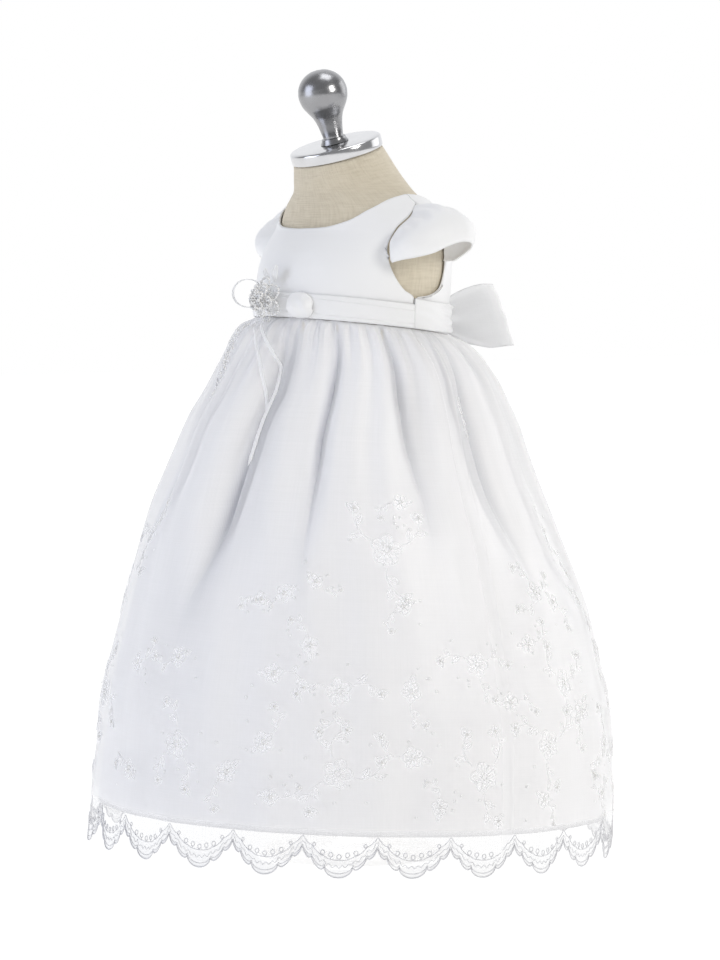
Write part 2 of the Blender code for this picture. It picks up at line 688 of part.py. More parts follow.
def bow():
    back = float(off_form(180.0, KNOT_HEIGHT, SASH_OUTER + TIE_LIFT)[1])
    middle = np.array([0.0, back + KNOT_HALF[1] * (1 - KNOT_PINCH) + 0.03, KNOT_HEIGHT])
    rounded_lump("bow_knot", middle, KNOT_HALF, KNOT_PINCH)
    rows = path(BOW_LOOP, 17)
    share = np.linspace(0, 1, 5)[None]
    reach = BOW_REACH_LOW * (1 - share) + BOW_REACH_HIGH * share
    x = np.maximum(rows[:, :1] * reach, KNOT_HALF[0] + BOW_KNOT_GAP)
    z = rows[:, 2:3] * (1 - share) + rows[:, 3:4] * share
    y = np.broadcast_to(rows[:, 1:2], x.shape)
    pucker = BOW_PUCKER * np.cos(3 * math.pi * share) * np.exp(-((x - 1.0) / 3.0) ** 2)
    grid = np.stack([x, y + pucker, z], axis=-1)
    outward = grid - BOW_MIDDLE
    cloth("bow_loop_left", grid, RIBBON_THICK, outward, "organza")
    cloth("bow_loop_right", grid * FLIP, RIBBON_THICK, outward * FLIP, "organza")
    tail = path(BOW_TAIL, 13)
    share = np.linspace(-1, 1, 5)[None]
    for name, side in (("bow_tail_left", -1), ("bow_tail_right", 1)):
        radius = smooth(SKIRT_SECTIONS, tail[:, 0], 1)[:, None]
        angle = 180 + side * tail[:, 1:2] + np.degrees(tail[:, 2:3] * share / radius)
        drop = tail[:, :1] + 0 * share
        if side > 0:
            drop = drop * SHORT_TAIL_SHARE + BOW_KNOT_GAP
        out = TAIL_OUT + TAIL_WAVE * np.cos(3 * share + 0.5 * tail[:, :1])
        grid = drape(angle, drop, 1, TAIL_FOLD_BRIDGE * fold_depth(angle, drop), gathered=0.0)
        away = grid * LEVEL
        grid = grid + out[..., None] * away / np.linalg.norm(away, axis=-1, keepdims=True)
        cloth(name, grid, RIBBON_THICK, away, "organza")


def ribbon_on_skirt(name, line, count, pointed, out, material):
    """A narrow ribbon lying on the overlay; the line holds angle, drop and perhaps half width."""
    rows = path([(a * 0.2, *rest) for a, *rest in line], count)
    rows[:, 0] /= 0.2
    half = rows[:, 2] if rows.shape[1] > 2 else np.full(count, NARROW_RIBBON / 2)
    if pointed:
        half[-1] = 0.04
    middle = drape(rows[:, 0], rows[:, 1], 1, out, gathered=0.0)
    ahead = np.gradient(middle, axis=0)
    ahead /= np.linalg.norm(ahead, axis=1, keepdims=True)
    away = middle * LEVEL
    away /= np.linalg.norm(away, axis=1, keepdims=True)
    side = np.cross(ahead, away)
    side /= np.linalg.norm(side, axis=1, keepdims=True)
    grid = np.stack([middle - half[:, None] * side, middle + half[:, None] * side], axis=1)
    return cloth(name, grid, NARROW_THICK, np.stack([away, away], axis=1), material)


def corsage():
    front = float(off_form(0.0, FLOWER_HEIGHT, SASH_OUTER + 0.05)[1])
    middle = np.array([0.0, front - 0.08, FLOWER_HEIGHT])
    around, across = 20, 4
    turn = np.linspace(0, 2 * math.pi, around, endpoint=False)
    points, rings = [], []
    for side, lift in ((-1, FLOWER_DOME), (1, 0.0)):
        order = range(across + 1) if side < 0 else range(across, -1, -1)
        for i in order:
            share = i / across
            if i == 0:
                rings.append([len(points)])
                points.append(middle + np.array([0.0, -lift - (FLOWER_EYE if side < 0 else 0.0), 0.0]))
                continue
            edge = FLOWER_RADIUS * (0.86 + 0.14 * np.cos(5 * turn))
            groove = 1 - 0.35 * math.sin(math.pi * share) * np.cos(5 * turn + math.pi)
            depth = lift * (1 - share**3) * groove + (FLOWER_RIM if side < 0 else 0.0)
            rings.append(list(range(len(points), len(points) + around)))
            for k in range(around):
                offset = np.array([math.sin(turn[k]), 0.0, math.cos(turn[k])]) * share * edge[k]
                points.append(middle + offset - np.array([0.0, depth[k], 0.0]))
    faces = []
    for low, high in zip(rings, rings[1:]):
        for k in range(around):
            n = (k + 1) % around
            if len(low) == 1:
                faces.append([low[0], high[n], high[k]])
            elif len(high) == 1:
                faces.append([low[k], low[n], high[0]])
            else:
                faces.append([low[k], low[n], high[n], high[k]])
    solid("corsage_flower", points, faces, "beads")

    # Two pointed petals above the flower
    for name, tip_x, tip_z, foot_x, foot_z in PETALS:
        foot = np.array([foot_x, middle[1] - 0.06, foot_z])
        tip = np.array([tip_x, middle[1] - 0.20, tip_z])
        along = np.linspace(0, 1, 6)[:, None]
        side = np.array(PETAL_HALVES)[:, None] * PETAL_SIDE
        line = foot + (tip - foot) * along
        line[:, 1] -= PETAL_BEND * np.sin(math.pi * along[:, 0])
        grid = np.stack([line - side, line + PETAL_CROWN * CENTRE_FRONT, line + side], axis=1)
        cloth(name, grid, NARROW_THICK, CENTRE_FRONT, "organza")

    # Narrow ribbon loop towards the wearer's right
    turn = np.linspace(RIBBON_LOOP_MOUTH, 2 * math.pi - RIBBON_LOOP_MOUTH, 21) + math.pi
    reach = RIBBON_LOOP_RADIUS * (1 + np.cos(turn))[::-1]
    loop = RIBBON_LOOP_FOOT + reach[:, None] * RIBBON_LOOP_ACROSS
    loop[:, 2] += RIBBON_LOOP_RISE * np.sin(turn)
    width = np.array([0.0, NARROW_RIBBON / 2, 0.0])
    grid = np.stack([loop - width, loop + width], axis=1)
    outward = (loop - RIBBON_LOOP_FOOT - RIBBON_LOOP_RADIUS * RIBBON_LOOP_ACROSS)[:, None]
    cloth("corsage_ribbon_loop", grid, NARROW_THICK, outward, "satin")

    # Puffed satin loop on the sash, towards the wearer's left
    angle, fullness = np.array(SATIN_LOOP).T[:, None]
    share = np.linspace(0, 1, 7)[:, None]
    height = waist_height(angle) + SATIN_LOOP_FOOT + SATIN_LOOP_WIDTH * share
    puff = SATIN_LOOP_PUFF * np.sin(math.pi * np.clip(share, 0, 1)) ** 0.6 * fullness
    angle, height = np.broadcast_arrays(angle, height)
    outer = off_form(angle, height, SASH_OUTER + SATIN_LOOP_OUT + puff)
    cloth("corsage_satin_loop", outer, SATIN_LOOP_THICK, outer * LEVEL, "satin")

    ribbon_on_skirt("corsage_ribbon_long", LONG_TAIL, 12, True, LONG_TAIL_OUT, "satin")
    ribbon_on_skirt("corsage_ribbon_short", SHORT_TAIL, 9, True, SHORT_TAIL_OUT, "satin")
    ribbon_on_skirt("corsage_spray", SPRAY, 9, False, SPRAY_OUT, "beads")


def form():
    heights = (24.0, 24.5, 25.3, 26.5, 30.0, 36.0, 41.5, 44.0, 46.0, 47.3, 48.3, 49.1, 49.8)
    heights += (50.5, 51.0, 51.5, 52.2, 53.2, 54.78)
    angle = np.linspace(0, 360, 30, endpoint=False)
    rings = [form_surface(angle, z) for z in heights]
    count = len(angle)
    faces = [list(range(count))]
    for i in range(len(rings) - 1):
        for j in range(count):
            a, b = i * count + j, i * count + (j + 1) % count
            faces.append([b, a, a + count, b + count])
    faces.append([(len(rings) - 1) * count + j for j in reversed(range(count))])
    solid("form_torso", np.concatenate(rings), faces, "linen")
    up = np.array([0.0, -math.sin(NECK_LEAN), math.cos(NECK_LEAN)])
    turned("form_neck_cap", CAP_PROFILE, NECK_TOP + 0.03 * up, NECK_LEAN, 32, "steel")
    turned("form_finial", FINIAL_PROFILE, NECK_TOP + 0.05 * up, NECK_LEAN, 20, "steel")


def stand():
    floor = np.zeros(3)
    edge = BASE_RADIUS
    profile = (
        (0.0, 0.0),
        (0.0, edge - 0.1),
        (0.12, edge),
        (BASE_HEIGHT - 0.7 * BASE_BEVEL, edge),
        (BASE_HEIGHT, edge - BASE_BEVEL),
        (BASE_HEIGHT, 0.0),
    )
    turned("stand_base", profile, floor, 0.0, 40, "white_paint")
    low, high = BASE_HEIGHT + JUST_CLEAR, FORM_SECTIONS[0][0] - JUST_CLEAR
    profile = (
        (low, 0.0),
        (low, POLE_RADIUS + COLLAR_WIDTH),
        (low + COLLAR_HEIGHT, POLE_RADIUS + 0.75 * COLLAR_WIDTH),
        (low + 1.1 * COLLAR_HEIGHT, POLE_RADIUS),
        (high - FLANGE_HEIGHT, POLE_RADIUS),
        (high - FLANGE_HEIGHT, FLANGE_RADIUS),
        (high, FLANGE_RADIUS),
        (high, 0.0),
    )
    turned("stand_pole", profile, floor, 0.0, 24, "white_paint")


clear_scene()
MATERIALS = {
    "satin": make_material("satin", (0.93, 0.93, 0.94), 0.38),
    "organza": make_material("organza", (0.95, 0.95, 0.96), 0.45, alpha=0.45),
    "lace": make_material("lace", (0.95, 0.95, 0.96), 0.55, alpha=0.65),
    "linen": make_material("linen", (0.72, 0.65, 0.50), 0.90),
    "beads": make_material("beads", (0.92, 0.92, 0.90), 0.20),
    "steel": make_material("steel", (0.55, 0.55, 0.56), 0.18, metallic=1.0),
    "white_paint": make_material("white_paint", (0.90, 0.90, 0.89), 0.35),
}
form()
stand()
bodice()
sleeves()
skirts()
border()
sash()
bow()
corsage()
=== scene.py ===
import math
import random

import bmesh
import bpy
import numpy as np
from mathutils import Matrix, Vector


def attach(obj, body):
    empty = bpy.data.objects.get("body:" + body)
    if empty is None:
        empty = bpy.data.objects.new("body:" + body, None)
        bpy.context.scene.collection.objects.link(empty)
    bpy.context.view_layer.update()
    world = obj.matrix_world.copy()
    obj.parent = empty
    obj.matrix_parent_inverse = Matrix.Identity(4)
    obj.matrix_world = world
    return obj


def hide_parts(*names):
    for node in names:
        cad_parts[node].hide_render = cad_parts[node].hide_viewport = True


# Lengths are centimetres and angles degrees until a mesh is made; 0 is the centre front,
# 90 the wearer's left, 180 the centre back. Drop is the distance down from the waist seam.
cm = 0.01

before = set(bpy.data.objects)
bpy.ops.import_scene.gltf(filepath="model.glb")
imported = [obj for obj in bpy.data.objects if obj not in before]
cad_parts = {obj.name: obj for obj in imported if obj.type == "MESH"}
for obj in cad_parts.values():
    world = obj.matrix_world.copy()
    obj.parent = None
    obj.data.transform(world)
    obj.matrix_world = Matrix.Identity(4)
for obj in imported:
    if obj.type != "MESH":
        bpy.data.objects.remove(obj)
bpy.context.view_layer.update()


# the dress form's skin and the hanging line of the skirt

formShape = {
    "rows": (  # height, half width, front y, back y, y of the widest place, lean
        (24.0, 4.70, -4.30, 4.10, 0.00, 0.00),
        (24.5, 5.90, -5.40, 5.10, 0.00, 0.00),
        (26.5, 7.30, -6.70, 6.30, 0.00, 0.00),
        (30.0, 7.85, -7.20, 6.90, 0.00, 0.00),
        (36.0, 7.80, -7.35, 6.90, 0.00, 0.00),
        (41.5, 7.55, -7.00, 6.95, 0.00, 0.00),
        (44.0, 7.62, -7.05, 7.15, 0.05, 0.00),
        (46.0, 7.65, -6.75, 7.30, 0.25, 0.00),
        (47.0, 7.60, -6.35, 7.28, 0.40, 0.00),
        (48.0, 7.52, -5.65, 7.05, 0.60, 0.00),
        (49.0, 7.38, -4.90, 6.60, 0.80, 0.00),
        (50.0, 7.14, -4.70, 5.85, 1.00, 0.00),
        (50.8, 6.60, -4.62, 5.25, 1.10, 0.00),
        (51.4, 5.75, -4.60, 4.83, 1.02, 0.00),
        (52.0, 4.85, -4.60, 4.35, 0.75, 0.03),
        (53.2, 4.05, -4.70, 3.35, -0.40, 0.14),
        (54.78, 3.50, -4.76, 1.96, -1.40, 0.30),
    ),
    "neckLean": 16.7,
    "neckTop": (0.0, -1.40, 54.80),
}

skirtShape = {
    "waistHeight": 41.5,
    "waistRise": 0.86,
    "waistHalfWidth": 7.55,
    "waistDepth": (7.0, 6.95),  # front, back
    "tipHeight": 1.0,
    "tipRise": 0.75,
    "seamAngle": 87.0,
    "borderDrop": 37.0,
    "satinHemDrop": 37.5,
    "notchDrop": 38.15,
    "sections": (  # drop, overlay radius, underskirt radius
        (0.0, 7.60, 7.60),
        (0.5, 8.85, 8.00),
        (1.5, 9.90, 8.65),
        (2.5, 10.60, 9.40),
        (3.8, 11.40, 10.20),
        (5.0, 12.00, 10.90),
        (6.2, 12.60, 11.50),
        (7.3, 13.15, 12.10),
        (8.5, 13.60, 12.60),
        (9.6, 14.00, 13.00),
        (12.0, 14.90, 14.00),
        (14.3, 15.80, 15.00),
        (16.7, 16.60, 15.90),
        (19.0, 17.30, 16.70),
        (21.4, 18.00, 17.40),
        (23.7, 18.55, 17.95),
        (26.0, 19.10, 18.50),
        (28.4, 19.70, 19.05),
        (30.7, 20.00, 19.35),
        (33.1, 20.10, 19.60),
        (35.4, 20.30, 19.80),
        (40.5, 20.40, 19.95),
    ),
    "middle": (  # drop, y of the middle
        (0.0, 0.00),
        (3.4, 0.58),
        (6.0, 0.42),
        (9.0, 0.12),
        (13.0, 0.06),
        (17.5, 0.25),
        (22.0, 0.42),
        (27.0, 0.35),
        (32.0, 0.32),
        (36.5, 0.08),
        (40.5, -0.20),
    ),
    "folds": (  # angle at the waist, angle at its end, depth, width before, width after, end drop
        (16.0, 8.0, 1.15, 6.0, 15.0, 20.0),
        (44.5, 40.5, 0.95, 9.0, 3.5, 16.0),
        (68.5, 75.0, 0.85, 3.5, 10.0, 13.0),
        (101.0, 104.0, 0.90, 8.0, 5.0, 17.0),
        (131.0, 127.0, 1.05, 5.0, 11.0, 20.0),
        (163.0, 166.0, 0.85, 9.0, 4.0, 15.0),
        (194.0, 190.0, 0.90, 4.0, 10.0, 18.0),
        (224.0, 229.0, 1.05, 10.0, 5.0, 20.0),
        (255.0, 252.0, 0.85, 5.0, 9.0, 15.0),
        (286.0, 291.0, 1.00, 9.0, 5.0, 19.0),
        (317.0, 313.0, 0.80, 5.0, 10.0, 14.0),
        (343.0, 339.0, 0.85, 8.0, 5.0, 17.0),
    ),
}
skirtShape["length"] = skirtShape["waistHeight"] - skirtShape["tipHeight"]

foldSettings = {
    "gain": 1.6,
    "growth": 5.5,  # drop over which a fold reaches its depth
    "overrun": 3,
    "fade": 9,
    "bowl": 0.92,
    "crease": 0.62,
    "creaseShare": 0.22,
    # the next three set how far the painted shade in the folds reaches
    "paintedShadeShare": 0.26,
    "paintedShadeOverrun": 5,
    "paintedShadeFade": 12,
}
gatherSettings = {
    "count": 40,
    "depth": (0.0, 0.32, 0.17),  # by layer: none, overlay, underskirt
    "start": 0.45,
    "reach": 6.0,
    "reachSpread": 2.2,
    "shadeReach": 3.4,
    "pleatsPerGather": 3,
    "pleatDepth": 0.065,
    "pleatStart": 0.3,
    "pleatReach": 2.3,
    "softShare": (1.0, 1.0, 0.35),
    "topOut": (0.0, 0.36, 0.17),
    "waistReach": 9,
    "clearance": 0.02,  # how far the cloth starts under the waist seam
}


def smooth(rows, at, column):  # a column of a table between its rows, without overshoot
    x = np.array([row[0] for row in rows], float)
    y = np.array([row[column] for row in rows], float)
    step = np.diff(x)
    rise = np.diff(y) / step
    slope = np.zeros(len(x))
    slope[0], slope[-1] = rise[0], rise[-1]
    for i in range(1, len(x) - 1):
        if rise[i - 1] * rise[i] > 0:
            slope[i] = 2 * rise[i - 1] * rise[i] / (rise[i - 1] + rise[i])
    at = np.clip(at, x[0], x[-1])
    i = np.clip(np.searchsorted(x, at) - 1, 0, len(x) - 2)
    s = (at - x[i]) / step[i]
    rest = 1 - s
    return (
        y[i] * (1 + 2 * s) * rest**2
        + y[i + 1] * s**2 * (3 - 2 * s)
        + step[i] * s * rest * (slope[i] * rest - slope[i + 1] * s)
    )


def smoothPath(points, count):  # evenly spaced points on a smooth line through the given ones
    points = np.array(points, float)
    along = np.concatenate([[0], np.cumsum(np.linalg.norm(np.diff(points, axis=0), axis=1))])
    rows = np.column_stack([along, points])
    fine = np.linspace(0, along[-1], 20 * count)
    curve = np.stack([smooth(rows, fine, k + 1) for k in range(points.shape[1])], axis=1)
    length = np.concatenate([[0], np.cumsum(np.linalg.norm(np.diff(curve, axis=0), axis=1))])
    even = np.linspace(0, length[-1], count)
    return np.stack([np.interp(even, length, curve[:, k]) for k in range(points.shape[1])], axis=1)


def formSurface(angle, height):
    angle, height = np.broadcast_arrays(np.asarray(angle, float), np.asarray(height, float))
    turn = np.radians(angle)
    half, front, back, widest, lean = (smooth(formShape["rows"], height, k) for k in range(1, 6))
    ahead = np.where(np.cos(turn) > 0, widest - front, back - widest)
    y = widest - ahead * np.cos(turn)
    return np.stack([half * np.sin(turn), y, height + lean * (y - (front + back) / 2)], axis=-1)


def unit(vectors):
    return vectors / np.maximum(np.linalg.norm(vectors, axis=-1, keepdims=True), 1e-9)


def offForm(angle, height, out):
    step = 0.02
    angle, height = np.asarray(angle, float), np.asarray(height, float)
    across = formSurface(angle + 10 * step, height) - formSurface(angle - 10 * step, height)
    up = formSurface(angle, height + step) - formSurface(angle, height - step)
    return formSurface(angle, height) + np.asarray(out, float)[..., None] * unit(np.cross(across, up))


def waistHeight(angle):
    return skirtShape["waistHeight"] + skirtShape["waistRise"] * np.cos(np.radians(angle))


def foldsNear(angle, drop):  # depth and end of each fold, and the way to it and its width here
    for start, end, depth, before, after, length in skirtShape["folds"]:
        middle = start + (end - start) * np.clip(drop / length, 0, 1)
        away = (angle - middle + 180) % 360 - 180
        yield depth, length, away, np.where(away < 0, before, after)


def foldDepth(angle, drop):
    total = np.zeros(np.broadcast(angle, drop).shape)
    grow = np.clip(drop / foldSettings["growth"], 0, 1) ** 0.8
    for depth, length, away, width in foldsNear(angle, drop):
        fade = np.clip((length + foldSettings["overrun"] - drop) / foldSettings["fade"], 0, 1)
        fade = fade * fade * (3 - 2 * fade)
        crease = np.exp(-((np.abs(away) / (foldSettings["creaseShare"] * width)) ** 1.5))
        across = foldSettings["bowl"] * np.exp(-((away / width) ** 2)) + foldSettings["crease"] * crease
        total = total + depth * grow * fade * across
    return total


def gatherWander(turn, drop):  # keeps the gathers from being evenly spaced
    return 0.9 * np.sin(3 * turn + 1.0) + 0.5 * np.sin(7 * turn + 0.08 * drop)


def paintedShadeAt(angle, drop):  # painted shade: 0 on the open cloth, up to 1 deep in a fold or between gathers, where the finishes darken the colour
    turn = np.radians(angle)
    total = np.zeros(np.broadcast(angle, drop).shape)
    for depth, length, away, width in foldsNear(angle, drop):
        fade = np.clip((length + foldSettings["paintedShadeOverrun"] - drop) / foldSettings["paintedShadeFade"], 0, 1)
        fade = fade * np.clip(drop / 3, 0, 1)
        total = total + depth * fade * np.exp(-((away / (foldSettings["paintedShadeShare"] * width)) ** 2))
    wave = (0.5 - 0.5 * np.cos(gatherSettings["count"] * turn + gatherWander(turn, drop))) ** 6
    strong = 0.55 + 0.45 * np.sin(11 * turn + 0.6)
    fade = np.exp(-((drop / gatherSettings["shadeReach"]) ** 1.3)) * np.clip(drop / 0.2, 0.4, 1)
    return np.clip(total + strong * wave * fade, 0, 1)


def hang(angle, drop, layer, out=0.0, gathered=1.0):  # layer 1 is the overlay, 2 the underskirt
    angle, drop = np.broadcast_arrays(np.asarray(angle, float), np.asarray(drop, float))
    turn = np.radians(angle)
    radius = smooth(skirtShape["sections"], drop, layer) - foldSettings["gain"] * foldDepth(angle, drop)
    wave = 1 - np.cos(gatherSettings["count"] * turn + gatherWander(turn, drop))
    reach = gatherSettings["reach"] + gatherSettings["reachSpread"] * np.sin(5 * turn + 2.0)
    fade = np.clip(drop / gatherSettings["start"], 0, 1) * np.exp(-((drop / reach) ** 1.4))
    radius = radius - gathered * gatherSettings["depth"][layer] * fade * wave
    pleats = gatherSettings["count"] * gatherSettings["pleatsPerGather"]
    fade = np.clip(drop / gatherSettings["pleatStart"], 0, 1)
    fade = fade * np.exp(-((drop / gatherSettings["pleatReach"]) ** 2))
    tuck = np.cos(pleats * turn + 2.2 * np.sin(11 * turn)) * gatherSettings["pleatDepth"]
    radius = radius + gathered * tuck * fade
    soft = 0.10 * np.sin(17 * turn + 0.10 * drop) + 0.07 * np.sin(29 * turn - 0.13 * drop + 1.3)
    soft = soft + 0.10 * np.sin(9 * turn + 0.4) * np.clip(drop / 30, 0, 1)
    radius = radius + gatherSettings["softShare"][layer] * soft * np.clip(drop / 6, 0, 1)
    near = np.clip(1 - drop / gatherSettings["waistReach"], 0, 1) ** 2
    extra = gatherSettings["topOut"][layer] - skirtShape["sections"][0][layer]
    waistDepth = np.where(np.cos(turn) > 0, *skirtShape["waistDepth"])
    wide = radius + out + near * (skirtShape["waistHalfWidth"] + extra)
    deep = radius + out + near * (waistDepth + extra)
    height = waistHeight(angle) - gatherSettings["clearance"]
    tip = skirtShape["tipHeight"] + skirtShape["tipRise"] * np.cos(turn)
    height = height - drop * (height - tip) / skirtShape["length"]
    middle = smooth(skirtShape["middle"], drop, 1)
    return np.stack([wide * np.sin(turn), middle - deep * np.cos(turn), height], axis=-1)


def onSkirt(angle, drop, lift):  # points a little off the overlay, along its normal
    angle, drop = np.asarray(angle, float), np.asarray(drop, float)
    across = hang(angle + 0.25, drop, 1) - hang(angle - 0.25, drop, 1)
    down = hang(angle, drop + 0.06, 1) - hang(angle, drop - 0.06, 1)
    normal = unit(np.cross(down, across))
    return hang(angle, drop, 1) + np.asarray(lift, float)[..., None] * normal


# finishes

class Link:  # one shader socket, with arithmetic
    def __init__(self, finish, socket):
        self.finish, self.socket = finish, socket

    def maths(self, operation, other):
        return self.finish.add("ShaderNodeMath", {"operation": operation}, {0: self, 1: other})

    def __add__(self, other):
        return self.maths("ADD", other)

    def __sub__(self, other):
        return self.maths("SUBTRACT", other)

    def __mul__(self, other):
        return self.maths("MULTIPLY", other)

    __radd__ = __add__
    __rmul__ = __mul__

    def smallest(self, other):
        return self.maths("MINIMUM", other)

    def largest(self, other):
        return self.maths("MAXIMUM", other)


socketNames = {
    "colour": "Base Color",
    "coat": "Coat Weight",
    "coatRoughness": "Coat Roughness",
    "sheen": "Sheen Weight",
    "sheenRoughness": "Sheen Roughness",
    "specular": "Specular IOR Level",
    "glowColour": "Emission Color",
    "glow": "Emission Strength",
}


class Finish:
    def __init__(self, name):
        self.material = bpy.data.materials.new(name)
        self.material.use_nodes = True
        self.nodes = self.material.node_tree.nodes
        self.links = self.material.node_tree.links
        self.shader = self.nodes["Principled BSDF"]

    def add(self, kind, settings=None, sockets=None, output=0):
        node = self.nodes.new(kind)
        for key, value in (settings or {}).items():
            if key == "stops":
                ramp = node.color_ramp.elements
                while len(ramp) < len(value):
                    ramp.new(0.5)
                for element, (place, colour) in zip(ramp, value):
                    element.position = place
                    element.color = (*colour, 1.0)
            else:
                setattr(node, key, value)
        for key, value in (sockets or {}).items():
            self.feed(node.inputs[key], value)
        return Link(self, node.outputs[output])

    def feed(self, socket, value):
        if isinstance(value, Link):
            self.links.new(value.socket, socket)
        else:
            socket.default_value = value

    def set(self, **sockets):
        for key, value in sockets.items():
            self.feed(self.shader.inputs[socketNames.get(key, key.capitalize())], value)

    def bump(self, height, strength, distance):
        return self.add("ShaderNodeBump", {}, {"Strength": strength, "Distance": distance, "Height": height})

    def flat(self):
        return self.add("ShaderNodeUVMap", {"uv_map": "UVMap"})

    def place(self):
        return self.add("ShaderNodeTexCoord", {}, {}, "Object")

    def scaled(self, vector, scale):
        return self.add("ShaderNodeMapping", {}, {"Vector": vector, "Scale": scale})

    def noise(self, vector, scale, detail=2.0, roughness=0.5):
        sockets = {"Vector": vector, "Scale": scale, "Detail": detail, "Roughness": roughness}
        return self.add("ShaderNodeTexNoise", {}, sockets, 0)

    def wave(self, vector, scale, direction, distortion=0.0):
        settings = {"wave_type": "BANDS", "bands_direction": direction, "wave_profile": "SIN"}
        sockets = {"Vector": vector, "Scale": scale, "Distortion": distortion, "Detail": 1.0}
        return self.add("ShaderNodeTexWave", settings, sockets, "Fac")

    def attribute(self, name):
        return self.add("ShaderNodeAttribute", {"attribute_name": name}, {}, "Fac")

    def ramp(self, value, stops):
        return self.add("ShaderNodeValToRGB", {"stops": stops}, {0: value}, 0)

    def mix(self, factor, first, second):
        sockets = {0: factor, 6: first, 7: second}
        return self.add("ShaderNodeMix", {"data_type": "RGBA"}, sockets, 2)


def satinFinish(name, pale, shade, roughness, sheen):
    finish = Finish(name)
    cloth = finish.flat()
    threads = finish.wave(cloth, 330.0, "Y", 0.6)
    slubs = finish.noise(finish.scaled(cloth, (900.0, 40.0, 1.0)), 1.0, 2.0)
    crush = finish.noise(finish.place(), 46.0, 3.0, 0.55)
    # partly painted shade: the crush mottle runs from the pale colour on the crush relief's rises to the
    # bluer shade colour in its dips; the slubs give the cloth's own tone
    tone = finish.mix(crush * 0.55 + slubs * 0.25, (*shade, 1), (*pale, 1))
    # painted shade: the colour darkens to a bluish grey deep in the folds and between the gathers
    finish.set(colour=finish.mix(finish.attribute("valley") * 0.85, tone, (0.64, 0.65, 0.69, 1)))
    finish.set(roughness=roughness + crush * 0.10 - 0.05 + slubs * 0.04, sheen=sheen, sheenRoughness=0.35)
    finish.set(specular=0.45)
    relief = crush * 0.8 + threads * 0.03 + slubs * 0.06
    finish.set(normal=finish.bump(relief, 0.22, 0.0022))
    return finish.material


def organzaFinish(name, cover, pale, roughness, attribute=None):
    finish = Finish(name)
    cloth = finish.flat()
    warp = finish.wave(cloth, 420.0, "X", 0.3)
    weft = finish.wave(cloth, 400.0, "Y", 0.3)
    slubs = finish.noise(finish.scaled(cloth, (1300.0, 16.0, 1.0)), 1.0, 2.0)
    slubs = slubs * 0.5 + finish.noise(finish.scaled(cloth, (16.0, 1200.0, 1.0)), 1.0, 2.0) * 0.5
    weave = warp * 0.5 + weft * 0.5
    alpha = cover + (weave - 0.5) * 0.06 + (slubs - 0.5) * 0.07
    if attribute:
        dense = finish.attribute(attribute)
        alpha = alpha + dense * (0.93 - cover)
    alpha = alpha.largest(0.02).smallest(1.0)
    cool = (pale[0] * 0.985, pale[1] * 0.988, pale[2] * 0.995, 1)
    tone = finish.mix(slubs, cool, (*pale, 1))
    # painted shade: the colour darkens to a bluish grey deep in the folds and between the gathers
    tone = finish.mix(finish.attribute("valley") * 0.80, tone, (0.66, 0.67, 0.71, 1))
    finish.set(colour=tone, roughness=roughness + slubs * 0.12, alpha=alpha)
    finish.set(sheen=0.35, sheenRoughness=0.3, specular=0.4)
    finish.set(normal=finish.bump(weave * 0.5 + slubs * 0.5, 0.06, 0.0005))
    return finish.material


def threadFinish(name, pale):
    finish = Finish(name)
    grain = finish.noise(finish.place(), 900.0, 2.0)
    tone = finish.noise(finish.place(), 30.0, 2.0)
    dim = [value * 0.95 for value in pale]
    finish.set(colour=finish.mix(grain * 0.6 + tone * 0.4, (*dim, 1), (*pale, 1)))
    finish.set(roughness=0.38 + grain * 0.2, sheen=0.9, sheenRoughness=0.4)
    finish.set(normal=finish.bump(grain, 0.2, 0.0003))
    return finish.material


def stitchFinish():
    finish = Finish("satinStitch")
    cloth = finish.flat()
    rows = finish.wave(cloth, 420.0, "X", 0.8)
    tone = finish.noise(finish.place(), 260.0, 2.0)
    finish.set(colour=finish.mix(rows * 0.5 + tone * 0.5, (0.955, 0.955, 0.96, 1), (0.985, 0.985, 0.985, 1)))
    finish.set(roughness=0.34 + rows * 0.16, alpha=(0.05 + tone * 0.40).smallest(1.0), sheen=0.4)
    finish.set(normal=finish.bump(rows + tone * 0.5, 0.3, 0.0004))
    return finish.material


def linenFinish():
    finish = Finish("linenCover")
    cloth = finish.flat()
    warp = finish.wave(cloth, 150.0, "X", 2.2)
    weft = finish.wave(cloth, 150.0, "Y", 2.2)
    slubs = finish.noise(finish.scaled(cloth, (520.0, 60.0, 1.0)), 1.0, 3.0)
    cross = finish.noise(finish.scaled(cloth, (60.0, 520.0, 1.0)), 1.0, 3.0)
    blotch = finish.noise(finish.place(), 18.0, 3.0)
    tone = (slubs + cross) * 0.42 + blotch * 0.16
    stops = ((0.28, (0.58, 0.51, 0.39)), (0.50, (0.69, 0.62, 0.49)), (0.74, (0.78, 0.71, 0.58)))
    finish.set(colour=finish.ramp(tone, stops), roughness=0.86 + slubs * 0.08, sheen=0.15)
    finish.set(normal=finish.bump((warp + weft) * 0.25 + slubs + cross, 0.40, 0.0007))
    return finish.material


def metalFinish(name, tone, roughness):
    finish = Finish(name)
    smear = finish.noise(finish.scaled(finish.place(), (60.0, 60.0, 60.0)), 1.0, 4.0)
    fine = finish.noise(finish.scaled(finish.place(), (900.0, 900.0, 60.0)), 1.0, 2.0)
    finish.set(colour=finish.mix(smear, (*[value * 0.72 for value in tone], 1), (*tone, 1)))
    finish.set(metallic=1.0, roughness=roughness + smear * 0.14 + fine * 0.03)
    finish.set(normal=finish.bump(smear, 0.08, 0.0010))
    return finish.material


def beadFinish(name, tone, roughness, shine):
    finish = Finish(name)
    mottle = finish.noise(finish.place(), 380.0, 1.0)
    finish.set(colour=finish.mix(mottle, (*[value * 0.86 for value in tone], 1), (*tone, 1)))
    finish.set(roughness=roughness + mottle * 0.06, coat=shine, coatRoughness=0.08, specular=0.7)
    return finish.material


